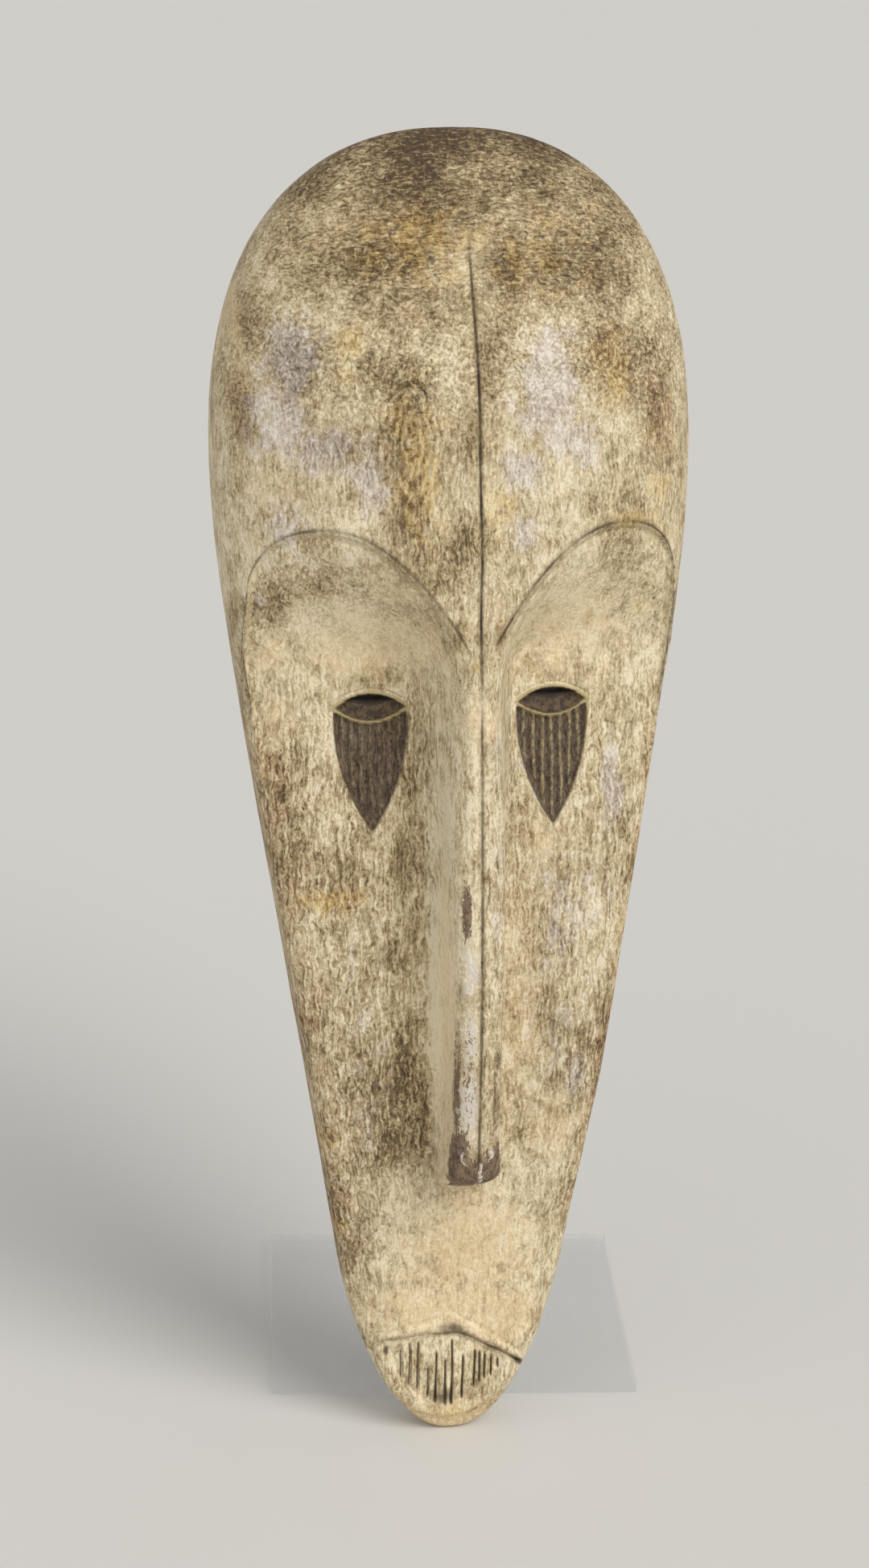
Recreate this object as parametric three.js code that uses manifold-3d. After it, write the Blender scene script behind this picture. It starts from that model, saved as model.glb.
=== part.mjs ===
// A tall carved mask with a long heart-shaped face, leaning back on a clear acrylic stand.
// Millimetres, +Z up, the mask faces -Y and its middle plane is X = 0.
// The mask is described on its own flat back plane: x across, h up from the chin, f forward.

import * as THREE from "three";
import { mergeVertices } from "three/addons/utils/BufferGeometryUtils.js";
import Module from "manifold-3d";

// Outline of the mask, seen from the front
const HEIGHT = 601.5;
const WIDEST_AT = 463;
const HALF_WIDTH = 107.6;
const TAPER = 0.17;
const TAPER_EASE = 61;
const CROWN_POWER = 2.34;
const CHIN_RISE = 87;
const CHIN_POWER = 2.25;

// Depth of the side walls and of the domed front
const SIDE_DEPTH = 40.4;
const CHIN_DEPTH = 20;
const SIDE_DEEPENS_FROM = 50;
const SIDE_DEEPENS_TO = 195;
const BACK_TUCK = 5;
const FOREHEAD_RISE = 58;
const FOREHEAD_POWER = 1.8;
const CHEEK_RISE = 19;
const CHEEK_RISE_LOW = 13;
const CHEEK_FILLS_OVER = 200;
const CHEEK_POWER = 2.4;
const CHIN_BEVEL = 60;

// Heart-shaped edge of the sunken face
const BROW_PEAK_X = 66;
const BROW_PEAK_H = 431;
const BROW_DROP = 63;
const BROW_CORNER_W = 31;
const BROW_CORNER_RISE = 36;
const BROW_CORNER_POWER = 2.4;
const FACE_EDGE_INSET = 2.5;
const FACE_EDGE_START = 9;
const FACE_EDGE_LOW = 335;
const FACE_STEP = 2.6;
const FACE_STEP_WIDTH = 3;
const FACE_STEP_FADES = [290, 350];
const SCOOP_AT_NOSE = 34;
const SCOOP_AT_SIDE = 62;
const SCOOP_WIDENS = [12, 57];

// Nose, a long bar with upright sides and a rounded front, softer at its top
const NOSE_TOP = 372;
const NOSE_TIP = 135.5;
const NOSE_END = 123.5;
const NOSE_END_ROUND = 0.3;
const NOSE_RIDGE = 98.6;
const NOSE_RIDGE_DROP = 15;
const NOSE_HALF = 11.3;
const NOSE_TOP_EXTRA = 2.7;
const NOSE_FLARE = 1.4;
const NOSE_FLARE_REACH = 16;
const NOSE_POWER = 5.5;
const NOSE_SOFTENS = [250, 345];
const NOSE_SOFT_HALF = 15;
const NOSE_SOFT_POWER = 3.4;
const NOSE_MEETS_BROW = 50;
const TIP_BEND = 2.2;
const TIP_REACH = 22;
const TIP_BEND_WIDTHS = 1.6;

// Eyes with the grooved shields below them
const EYE_X = 41.3;
const EYE_H = 349;
const EYE_HALF = 17;
const LID_RISE = 6.5;
const LID_FALL = 6.8;
const EYE_HOLLOW = 1.8;
const SLIT_HALF = 10;
const SLIT_H = 351.2;
const SLIT_RISE = 2.3;
const SLIT_REACH = 80;
const SLIT_FRONT = 58;
const SLIT_SLOPE_DEG = 20;
const SHIELD_TOP = 345.5;
const SHIELD_LENGTH = 53;
const SHIELD_HALF = 16.8;
const SHIELD_POWER = 2.2;
const SHIELD_DEPTH = 1.2;
const SHIELD_GROOVES = 8;
const SHIELD_GROOVE_WIDTH = 2.6;
const SHIELD_GROOVE_DEPTH = 2.1;
const SHIELD_GROOVE_START = 1;
const SHIELD_GROOVE_END = 1.5;

// Mouth, teeth and chin border
const MOUTH_LEFT = -40;
const MOUTH_RIGHT = 34;
const MOUTH_H = 49.5;
const MOUTH_DROP_LEFT = 5;
const MOUTH_DROP_RIGHT = 20;
const MOUTH_CURVE_LEFT = 3;
const MOUTH_CURVE_RIGHT = 1.25;
const MOUTH_WIDTH = 3;
const MOUTH_DEPTH = 2.4;
const TEETH_X = -3;
const TEETH_HALF = 29.5;
const TEETH_CENTRE_H = 45;
const TEETH_FALL = 33;
const TEETH_DEPTH = 1.6;
const TOOTH_LINES = 12;
const TOOTH_LINE_WIDTH = 1.8;
const TOOTH_LINE_DEPTH = 2.6;
const TOOTH_LINE_MARGIN = 3;
const TOOTH_LINE_END = 2;
const TEETH_PAN_TOP = MOUTH_H - 1;

// Incised lines
const LINE_WIDTH = 1.6;
const LINE_DEPTH = 1.3;
const CENTRE_LINE_TOP = 555;
const CENTRE_LINE_END = 154;
const CENTRE_LINE_STEPS = 22;
const CUTTER_LIFT = 1.2;
const RECESS_LID = 3;
const LEAST_HALF = 0.25;

// Hollow behind the face
const HOLLOW_LOW = 26;
const HOLLOW_HIGH = 583;
const HOLLOW_SCALE = 0.83;
const HOLLOW_POWER = 3.2;
const HOLLOW_CHIN = 15;
const HOLLOW_CHIN_BEVEL = 40;
const HOLLOW_FACE = 43;
const HOLLOW_FACE_FROM = [60, 210];
const HOLLOW_FOREHEAD = 82;
const HOLLOW_FOREHEAD_FROM = [360, 445];
const HOLLOW_CROWN_POWER = 2.2;
const CUT_THROUGH = 6;

// Spacing of the surface, finer under the brows
const OUTSIDE_STEP = 17;
const BROW_ZONE = [352, 436];
const BROW_STEP = 6.5;
const HOLLOW_STEP = 45;
const HOLLOW_ZONE = [350, 450];
const HOLLOW_ZONE_STEP = 20;
const END_STEP = 0.7;
const END_GROWTH = 0.34;
const NOSE_ZONE_SHARE = 0.4;
const TIP_ROWS = [-12, -9, -3, 0.5, 4];
const TIP_ROWS_ROOM = [-16, 8];
const NOSE_COLUMNS = [0, 0.17, 0.36, 0.56, 0.74, 0.88, 1];
const NOSE_FOOT_COLUMN = 1.4;
const CHEEK_COLUMNS = 9;
const WALL_COLUMNS = 3;
const HOLLOW_COLUMNS = 8;
const SMOOTH_DEPTH_STEP = 0.5;

// How the mask stands, and the clear acrylic stand behind it
const LEAN_DEG = 7.2;
const CHIN_Y = -99;
const PLATE_SIDE = 175;
const PLATE_THICK = 5;
const PLATE_X = 22.5;
const STAND_TURN_DEG = -9;
const POST_WIDTH = 30;
const POST_THICK = 8;
const POST_X = 8;
const POST_Y = -62;
const POST_TOP = 567;
const GAP = 0.3;

const wasm = await Module();
wasm.setup();

const clamp = (t) => Math.min(Math.max(t, 0), 1);
const mix = (a, b, t) => a + (b - a) * t;
const ease = (t) => clamp(t) ** 2 * (3 - 2 * clamp(t));
const easeOver = (v, [from, to]) => ease((v - from) / (to - from));
const roundOff = (r, power) => (1 - clamp(Math.abs(r)) ** power) ** (1 / power);

// Values of a curve at equal steps from its start to its end
function along(steps, curve) {
  return Array.from({ length: steps + 1 }, (_, i) => curve(i / steps));
}

// Half the width of the outline at height h
function halfWidth(h) {
  const below = Math.max(WIDEST_AT - h, 0);
  const side = HALF_WIDTH - TAPER * (Math.hypot(below, TAPER_EASE) - TAPER_EASE);
  const crown = roundOff(Math.max(h - WIDEST_AT, 0) / (HEIGHT - WIDEST_AT), CROWN_POWER);
  const chin = roundOff(Math.max(CHIN_RISE - h, 0) / CHIN_RISE, CHIN_POWER);
  return side * crown * chin;
}

// Share of the way out to the outline at height h
function shareOut(x, h) {
  return x / Math.max(halfWidth(h), LEAST_HALF);
}

// Depth of the side wall, from the back plane to where the front begins to dome
function sideDepth(h) {
  return mix(CHIN_DEPTH, SIDE_DEPTH, easeOver(h, [SIDE_DEEPENS_FROM, SIDE_DEEPENS_TO]));
}

// Height of the brow line above the chin: a parabola up from the nose, then a round corner
function browLine(x) {
  const a = Math.abs(x);
  if (a < BROW_PEAK_X) return BROW_PEAK_H - BROW_DROP * (1 - a / BROW_PEAK_X) ** 2;
  const corner = roundOff((a - BROW_PEAK_X) / BROW_CORNER_W, BROW_CORNER_POWER);
  return BROW_PEAK_H - BROW_CORNER_RISE * (1 - corner);
}

// How far out the edge of the face lies at height h below the brow's outer corner
function faceEdgeX(h) {
  return Math.min(BROW_PEAK_X + BROW_CORNER_W, halfWidth(h) - FACE_EDGE_INSET);
}

// Distance inside the heart-shaped edge of the face, negative on the forehead
function insideFace(x, h) {
  const a = Math.abs(x);
  const slope = (2 * BROW_DROP * Math.max(1 - a / BROW_PEAK_X, 0)) / BROW_PEAK_X;
  const fromBrow = (browLine(x) - h) / Math.hypot(1, slope);
  return Math.min(fromBrow, faceEdgeX(h) - a);
}

// The domed forehead, carried on behind the face
function foreheadDepth(x, h) {
  const up = roundOff(Math.max(h - WIDEST_AT, 0) / (HEIGHT - WIDEST_AT), FOREHEAD_POWER);
  return sideDepth(h) + FOREHEAD_RISE * up * roundOff(shareOut(x, h), 2);
}

// The sunken cheeks
function cheekDepth(x, h) {
  const rise = mix(CHEEK_RISE_LOW, CHEEK_RISE, ease((h - CHIN_BEVEL) / CHEEK_FILLS_OVER));
  const chin = roundOff(Math.max(CHIN_BEVEL - h, 0) / CHIN_BEVEL, 2);
  return sideDepth(h) + rise * chin * roundOff(shareOut(x, h), CHEEK_POWER);
}

// Forehead and cheeks joined by the scoop under the brows, with a small step at the edge
function faceDepth(x, h) {
  const length = mix(SCOOP_AT_NOSE, SCOOP_AT_SIDE, easeOver(Math.abs(x), SCOOP_WIDENS));
  const sunk = ease((browLine(x) - h) / length);
  const step = FACE_STEP * easeOver(h, FACE_STEP_FADES) * ease(insideFace(x, h) / FACE_STEP_WIDTH);
  return mix(foreheadDepth(x, h), cheekDepth(x, h), sunk) - step;
}

// How much higher the rounded end of the nose lies at its sides than in its middle
function tipBend(x) {
  return TIP_BEND * Math.min(Math.abs(x) / NOSE_HALF, TIP_BEND_WIDTHS) ** 2;
}

// Share of that bend that the rows of the surface follow at height h
function bendShare(h) {
  const off = Math.max(h - NOSE_TIP - TIP_ROWS.at(-1), NOSE_END - h, 0);
  return Math.exp(-((off / TIP_REACH) ** 2));
}

// Half the width of the nose at height h
function noseHalf(h) {
  const flare = NOSE_FLARE * Math.exp(-(((h - NOSE_TIP) / NOSE_FLARE_REACH) ** 2));
  return NOSE_HALF + NOSE_TOP_EXTRA * easeOver(h, [NOSE_TIP, NOSE_TOP]) + flare;
}

// A straight rise from 0 to 1 with a rounded top end
function roundedRise(t) {
  if (t < 1 - NOSE_END_ROUND) return Math.max(t, 0);
  return 1 - Math.max(1 + NOSE_END_ROUND - t, 0) ** 2 / (4 * NOSE_END_ROUND);
}

// Height of the nose above the face around it, as a share of the full ridge
function noseShare(x, h) {
  const firm = roundOff(x / noseHalf(h), NOSE_POWER);
  const soft = 0.5 ** ((Math.abs(x) / NOSE_SOFT_HALF) ** NOSE_SOFT_POWER);
  const end = roundedRise((h - NOSE_END - tipBend(x)) / (NOSE_TIP - NOSE_END));
  return mix(firm, soft, easeOver(h, NOSE_SOFTENS)) * end;
}

// Depth of the finished front at any place
function frontDepth(x, h) {
  const face = faceDepth(x, h);
  const down = clamp((NOSE_TOP - h) / (NOSE_TOP - NOSE_TIP));
  const ridge = NOSE_RIDGE - NOSE_RIDGE_DROP * down ** 3;
  const fade = 1 - ease((h - NOSE_TOP) / NOSE_MEETS_BROW);
  return face + Math.max(ridge - face, 0) * noseShare(x, h) * fade;
}

// Mask places become points in space: +x across, -y forward, +z up
const place = (x, f, h) => new THREE.Vector3(x, -f, h);
const frontPoint = (x, h) => place(x, frontDepth(x, h), h);

function frontNormal(x, h) {
  const d = SMOOTH_DEPTH_STEP;
  const across = frontPoint(x + d, h).sub(frontPoint(x - d, h));
  const up = frontPoint(x, h + d).sub(frontPoint(x, h - d));
  return across.cross(up).normalize();
}

// Shared corners are merged and collapsed triangles dropped before a solid is made
function toSolid(points, index) {
  const loose = new THREE.BufferGeometry().setFromPoints(points);
  loose.setIndex(index);
  const merged = mergeVertices(loose, 1e-3);
  const triangles = [];
  for (let i = 0; i < merged.index.count; i += 3) {
    const [a, b, c] = [0, 1, 2].map((k) => merged.index.getX(i + k));
    if (a !== b && b !== c && c !== a) triangles.push(a, b, c);
  }
  return new wasm.Manifold(new wasm.Mesh({
    numProp: 3,
    vertProperties: merged.attributes.position.array,
    triVerts: new Uint32Array(triangles),
  }));
}

// A closed skin through loops of points, the first and last loop filled with a fan
function loft(loops) {
  const count = loops[0].length;
  const index = [];
  for (let r = 0; r + 1 < loops.length; r += 1) {
    for (let c = 0; c < count; c += 1) {
      const a = r * count + c;
      const b = r * count + ((c + 1) % count);
      index.push(a, b, b + count, a, b + count, a + count);
    }
  }
  const last = (loops.length - 1) * count;
  for (let c = 1; c + 1 < count; c += 1) {
    index.push(0, c + 1, c);
    index.push(last, last + c, last + c + 1);
  }
  return toSolid(loops.flat(), index);
}

// Heights of the rows, close together at both ends and finer inside one zone
function rowHeights(low, high, step, zone, zoneStep) {
  const rows = [];
  let h = low;
  while (h < high) {
    rows.push(h);
    const room = Math.min(h - low, high - h);
    const wanted = h > zone[0] && h < zone[1] ? zoneStep : step;
    h += Math.min(wanted, Math.max(END_STEP, END_GROWTH * room));
  }
  rows[rows.length - 1] = high;
  return rows;
}

// Places across one half of the front at height h: close over the nose, then out to the edge
function columnsAcross(h) {
  const half = halfWidth(h);
  const zone = Math.min(noseHalf(h), NOSE_ZONE_SHARE * half);
  const nose = NOSE_COLUMNS.map((t) => zone * Math.sin((Math.PI / 2) * t) ** (2 / NOSE_POWER));
  const foot = NOSE_FOOT_COLUMN * zone;
  const cheek = along(CHEEK_COLUMNS, (t) => mix(foot, half, Math.sin((Math.PI / 2) * t)));
  return [...nose, ...cheek];
}

// A point of the front on the row that starts at height h, bent round the end of the nose
function rowPoint(x, h) {
  const up = h + bendShare(h) * tipBend(x);
  const widened = x > noseHalf(h) ? 1 : noseHalf(up) / noseHalf(h);
  return frontPoint(x * widened, up);
}

// One loop of the outside: left wall, front from left to right, right wall
function outsideLoop(h) {
  const half = halfWidth(h);
  const across = columnsAcross(h).slice(1);
  const mirrored = (point) => point.clone().setX(-point.x);
  const wall = along(WALL_COLUMNS, (t) => t).slice(0, -1).map((t) => {
    const tuck = BACK_TUCK * (1 - t) ** 2;
    return [half * (1 - tuck / HALF_WIDTH), t * sideDepth(h), mix(h, HEIGHT / 2, (2 * tuck) / HEIGHT)];
  });
  return [
    ...wall.map(([x, f, up]) => place(-x, f, up)),
    ...across.map((x) => mirrored(rowPoint(x, h))).reverse(),
    rowPoint(0, h),
    ...across.map((x) => rowPoint(x, h)),
    ...wall.map(([x, f, up]) => place(x, f, up)).reverse(),
  ];
}

function outside() {
  const rows = rowHeights(0, HEIGHT, OUTSIDE_STEP, BROW_ZONE, BROW_STEP);
  const tipRows = TIP_ROWS.map((off) => NOSE_TIP + off);
  const [below, above] = TIP_ROWS_ROOM;
  const clearRows = rows.filter((h) => h < NOSE_TIP + below || h > NOSE_TIP + above);
  return loft([...clearRows, ...tipRows].sort((a, b) => a - b).map(outsideLoop));
}

// Depth of the hollow at its middle
function hollowDepth(h) {
  const face = mix(HOLLOW_CHIN, HOLLOW_FACE, easeOver(h, HOLLOW_FACE_FROM));
  const middle = mix(face, HOLLOW_FOREHEAD, easeOver(h, HOLLOW_FOREHEAD_FROM));
  const up = Math.max(h - WIDEST_AT, 0) / (HOLLOW_HIGH - WIDEST_AT);
  const down = Math.max(HOLLOW_LOW + HOLLOW_CHIN_BEVEL - h, 0) / HOLLOW_CHIN_BEVEL;
  return middle * roundOff(up, HOLLOW_CROWN_POWER) * roundOff(down, 2);
}

// One loop of the hollow, carried out behind the back plane so that it cuts right through
function hollowLoop(h) {
  const t = (h - HOLLOW_LOW) / (HOLLOW_HIGH - HOLLOW_LOW);
  const half = HOLLOW_SCALE * halfWidth(HEIGHT * t);
  const inner = along(2 * HOLLOW_COLUMNS, (s) => {
    const r = Math.sin(Math.PI * (s - 0.5));
    return place(half * r, hollowDepth(h) * roundOff(r, HOLLOW_POWER), h);
  });
  return [place(-half, -CUT_THROUGH, h), ...inner, place(half, -CUT_THROUGH, h)];
}

function hollow() {
  const rows = rowHeights(HOLLOW_LOW, HOLLOW_HIGH, HOLLOW_STEP, HOLLOW_ZONE, HOLLOW_ZONE_STEP);
  return loft(rows.map(hollowLoop));
}

// A pointed groove along a path of [x, h] places on the front
function incision(path, width = LINE_WIDTH, depth = LINE_DEPTH) {
  const spread = (width / 2) * (1 + CUTTER_LIFT / depth);
  return loft(path.map(([x, h], i) => {
    const before = frontPoint(...path[Math.max(i - 1, 0)]);
    const after = frontPoint(...path[Math.min(i + 1, path.length - 1)]);
    const normal = frontNormal(x, h);
    const side = after.sub(before).cross(normal).normalize();
    const top = frontPoint(x, h).addScaledVector(normal, CUTTER_LIFT);
    return [
      frontPoint(x, h).addScaledVector(normal, -depth),
      top.clone().addScaledVector(side, -spread),
      top.clone().addScaledVector(side, spread),
    ];
  }));
}

// A shallow recess from left(h) to right(h), sunk below the front by depth(share across)
function recess(heights, left, right, depth, columns) {
  return loft(heights.map((h) => {
    const across = along(columns, (t) => [mix(left(h), right(h), t), t]);
    const floor = across.map(([x, t]) => place(x, frontDepth(x, h) - depth(t), h)).reverse();
    const lid = across.map(([x]) => place(x, frontDepth(x, h) + RECESS_LID, h));
    return [...lid, ...floor];
  }));
}

// Half the width between the lids at height h
function lidHalf(h) {
  const reach = h > EYE_H ? LID_RISE : LID_FALL;
  return EYE_HALF * Math.sqrt(clamp(1 - Math.abs(h - EYE_H) / reach)) + LEAST_HALF;
}

function eyeHollow(x) {
  const heights = along(8, (t) => mix(EYE_H - LID_FALL, EYE_H + LID_RISE, t));
  const depth = (t) => EYE_HOLLOW * Math.sin(Math.PI * t) + LEAST_HALF;
  return recess(heights, (h) => x - lidHalf(h), (h) => x + lidHalf(h), depth, 6);
}

// The slit goes right through the wood, sloping up on its way in
function eyeSlit(x) {
  const outline = new THREE.Shape();
  outline.moveTo(-SLIT_HALF, 0);
  outline.quadraticCurveTo(0, -2 * SLIT_RISE, SLIT_HALF, 0);
  outline.quadraticCurveTo(0, 2 * SLIT_RISE, -SLIT_HALF, 0);
  const options = { depth: SLIT_REACH, bevelEnabled: false, curveSegments: 6 };
  const bar = new THREE.ExtrudeGeometry(outline, options);
  const slope = THREE.MathUtils.degToRad(SLIT_SLOPE_DEG);
  bar.rotateX(Math.PI / 2 + slope);
  bar.translate(x, 0, SLIT_H + SLIT_FRONT * Math.tan(slope));
  const { array, count } = bar.attributes.position;
  const points = Array.from({ length: count }, (_, i) => new THREE.Vector3().fromArray(array, 3 * i));
  return toSolid(points, points.map((_, i) => i));
}

// Half the width of the shield below an eye at height h
function shieldHalf(h) {
  return SHIELD_HALF * (1 - clamp((SHIELD_TOP - h) / SHIELD_LENGTH) ** SHIELD_POWER) + LEAST_HALF;
}

function shieldPan(x) {
  const heights = along(6, (t) => mix(SHIELD_TOP - SHIELD_LENGTH, SHIELD_TOP, t));
  return recess(heights, (h) => x - shieldHalf(h), (h) => x + shieldHalf(h), () => SHIELD_DEPTH, 3);
}

function shieldGroove(x, share) {
  const reach = (1 - Math.abs(share)) ** (1 / SHIELD_POWER);
  const low = SHIELD_TOP - SHIELD_LENGTH * reach + SHIELD_GROOVE_END;
  const path = along(2, (t) => [x + share * SHIELD_HALF, mix(low, SHIELD_TOP - SHIELD_GROOVE_START, t)]);
  return incision(path, SHIELD_GROOVE_WIDTH, SHIELD_GROOVE_DEPTH);
}

function eyeCuts(x) {
  const shares = Array.from({ length: SHIELD_GROOVES }, (_, i) => (2 * i + 1) / SHIELD_GROOVES - 1);
  return [eyeHollow(x), eyeSlit(x), shieldPan(x), ...shares.map((share) => shieldGroove(x, share))];
}

// The mouth line, lower on its right end
function mouthLine(x) {
  if (x < 0) return MOUTH_H - MOUTH_DROP_LEFT * (x / MOUTH_LEFT) ** MOUTH_CURVE_LEFT;
  return MOUTH_H - MOUTH_DROP_RIGHT * (x / MOUTH_RIGHT) ** MOUTH_CURVE_RIGHT;
}

function mouthGroove() {
  const path = along(16, (t) => mix(MOUTH_LEFT, MOUTH_RIGHT, t)).map((x) => [x, mouthLine(x)]);
  return incision(path, MOUTH_WIDTH, MOUTH_DEPTH);
}

// The teeth field: a bowl-shaped area under the mouth line
function teethPan() {
  const half = (h) => TEETH_HALF * roundOff(Math.max(TEETH_CENTRE_H - h, 0) / TEETH_FALL, 2) + LEAST_HALF;
  const below = (h, drop) => clamp((MOUTH_H - h) / drop);
  const left = (h) => {
    const line = MOUTH_LEFT * below(h, MOUTH_DROP_LEFT) ** (1 / MOUTH_CURVE_LEFT);
    return Math.max(TEETH_X - half(h), line);
  };
  const right = (h) => {
    const line = MOUTH_RIGHT * below(h, MOUTH_DROP_RIGHT) ** (1 / MOUTH_CURVE_RIGHT);
    return Math.min(TEETH_X + half(h), line);
  };
  const heights = along(7, (t) => mix(TEETH_CENTRE_H - TEETH_FALL, TEETH_PAN_TOP, ease(t)));
  return recess(heights, left, right, () => TEETH_DEPTH, 4);
}

function toothLine(share) {
  const off = share * (TEETH_HALF - TOOTH_LINE_MARGIN);
  const x = TEETH_X + off;
  const low = TEETH_CENTRE_H - TEETH_FALL * roundOff(off / TEETH_HALF, 2) + TOOTH_LINE_END;
  const path = along(2, (t) => [x, mix(low, mouthLine(x) - MOUTH_WIDTH / 2, t)]);
  return incision(path, TOOTH_LINE_WIDTH, TOOTH_LINE_DEPTH);
}

function mouthCuts() {
  const shares = Array.from({ length: TOOTH_LINES }, (_, i) => (2 * i + 1) / TOOTH_LINES - 1);
  return [teethPan(), mouthGroove(), ...shares.map(toothLine)];
}

// The edge of the face on one side: up the brow, round its outer corner and down the cheek
function faceEdge(side) {
  const brow = along(14, (t) => mix(FACE_EDGE_START, BROW_PEAK_X, t)).map((x) => [side * x, browLine(x)]);
  const corner = along(8, (t) => (Math.PI / 2) * t).map((turn) => {
    const out = BROW_CORNER_W * Math.sin(turn) ** (2 / BROW_CORNER_POWER);
    const down = BROW_CORNER_RISE * (1 - Math.cos(turn) ** (2 / BROW_CORNER_POWER));
    return [side * (BROW_PEAK_X + out), BROW_PEAK_H - down];
  });
  const cheek = along(5, (t) => mix(BROW_PEAK_H - BROW_CORNER_RISE, FACE_EDGE_LOW, t)).map((h) => {
    return [side * faceEdgeX(h), h];
  });
  return incision([...brow, ...corner.slice(1), ...cheek.slice(1)]);
}

function centreLine() {
  return incision(along(CENTRE_LINE_STEPS, (t) => [0, mix(CENTRE_LINE_END, CENTRE_LINE_TOP, t)]));
}

// The wooden mask: the outside less the hollow and every carved line
function maskMesh() {
  const carving = [
    ...eyeCuts(-EYE_X), ...eyeCuts(EYE_X),
    centreLine(), faceEdge(-1), faceEdge(1), ...mouthCuts(),
  ];
  const shell = outside().subtract(hollow());
  const carved = carving.reduce((solid, cutter) => solid.subtract(cutter), shell).getMesh();
  const geometry = new THREE.BufferGeometry();
  geometry.setAttribute("position", new THREE.Float32BufferAttribute(carved.vertProperties, 3));
  geometry.setIndex(Array.from(carved.triVerts));
  const wood = new THREE.MeshStandardMaterial({ color: 0xcdbb90, roughness: 0.8, metalness: 0 });
  const mesh = new THREE.Mesh(geometry, wood);
  mesh.name = "mask";
  mesh.rotation.x = -THREE.MathUtils.degToRad(LEAN_DEG);
  mesh.position.y = CHIN_Y;
  mesh.updateMatrixWorld(true);
  mesh.position.z = -new THREE.Box3().setFromObject(mesh, true).min.z;
  return mesh;
}

function clearAcrylic() {
  return new THREE.MeshStandardMaterial({ color: 0xe8eef0, roughness: 0.05, metalness: 0 });
}

// The square foot plate lies turned behind the chin
function footPlate() {
  const mesh = new THREE.Mesh(new THREE.BoxGeometry(PLATE_SIDE, PLATE_SIDE, PLATE_THICK), clearAcrylic());
  mesh.name = "foot_plate";
  mesh.rotation.z = THREE.MathUtils.degToRad(STAND_TURN_DEG);
  mesh.position.set(PLATE_X, 0, PLATE_THICK / 2);
  return mesh;
}

// The upright rises from the plate into the hollow, and its top holds the crown
function upright() {
  const low = PLATE_THICK + GAP;
  const mesh = new THREE.Mesh(new THREE.BoxGeometry(POST_WIDTH, POST_THICK, POST_TOP - low), clearAcrylic());
  mesh.name = "upright";
  mesh.rotation.z = THREE.MathUtils.degToRad(STAND_TURN_DEG);
  mesh.position.set(POST_X, POST_Y, (low + POST_TOP) / 2);
  return mesh;
}

const group = new THREE.Group();
group.add(maskMesh(), footPlate(), upright());

export default group;
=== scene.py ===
# %% [markdown]
# # A tall carved mask on a clear stand
# The mask is one piece of wood: a long heart-shaped face under a domed forehead, hollow
# behind. It leans back on a clear acrylic stand, a square foot plate with an upright that
# reaches up inside the hollow. This lesson dresses the imported solids for a close look:
# first the camera, then the form of the mask, its carving, the stand, and the finishes.

# %% [markdown]
# ## The imported model
# The solids arrive as a fixed frame in metres. One short helper puts each new object into
# the scene.

import math

import bmesh
import bpy
import numpy as np
from mathutils import Matrix, Vector


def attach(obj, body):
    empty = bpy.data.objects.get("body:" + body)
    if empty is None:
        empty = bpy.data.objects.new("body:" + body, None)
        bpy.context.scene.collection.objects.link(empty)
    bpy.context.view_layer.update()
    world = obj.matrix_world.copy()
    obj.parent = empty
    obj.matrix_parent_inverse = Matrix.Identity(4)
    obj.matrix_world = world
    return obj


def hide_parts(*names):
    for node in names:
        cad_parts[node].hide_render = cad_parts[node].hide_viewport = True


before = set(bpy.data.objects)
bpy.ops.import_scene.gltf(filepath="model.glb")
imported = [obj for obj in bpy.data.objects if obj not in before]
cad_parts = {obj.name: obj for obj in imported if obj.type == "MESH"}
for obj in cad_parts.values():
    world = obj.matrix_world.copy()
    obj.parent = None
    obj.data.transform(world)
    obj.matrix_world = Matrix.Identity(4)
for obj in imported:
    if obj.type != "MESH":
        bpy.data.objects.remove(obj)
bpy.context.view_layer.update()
MM = 0.001


def placed(name, data):
    made = bpy.data.objects.new(name, data)
    bpy.context.scene.collection.objects.link(made)
    return made


# %% [markdown]
# ## Where the camera stands
# The photograph was taken from a little above and to the left of the mask with a long lens.
# The camera could be placed by eye, but four corners of the foot plate and the outline of
# the mask pin it down, so its distance, turn and lens are given as numbers. It is tipped by
# one degree about its own axis, as a hand-held camera is.

# %% Place the camera
CAMERA_AIM = Vector((-0.003, -0.070, 0.3013))
CAMERA_DISTANCE = 1.703
CAMERA_AZIMUTH = math.radians(-12.0)
CAMERA_ELEVATION = math.radians(17.19)
CAMERA_ROLL = math.radians(1.0)
SENSOR = 36.0
FOCAL_PIXELS = 4613.5
IMAGE_HEIGHT = 1948


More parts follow.
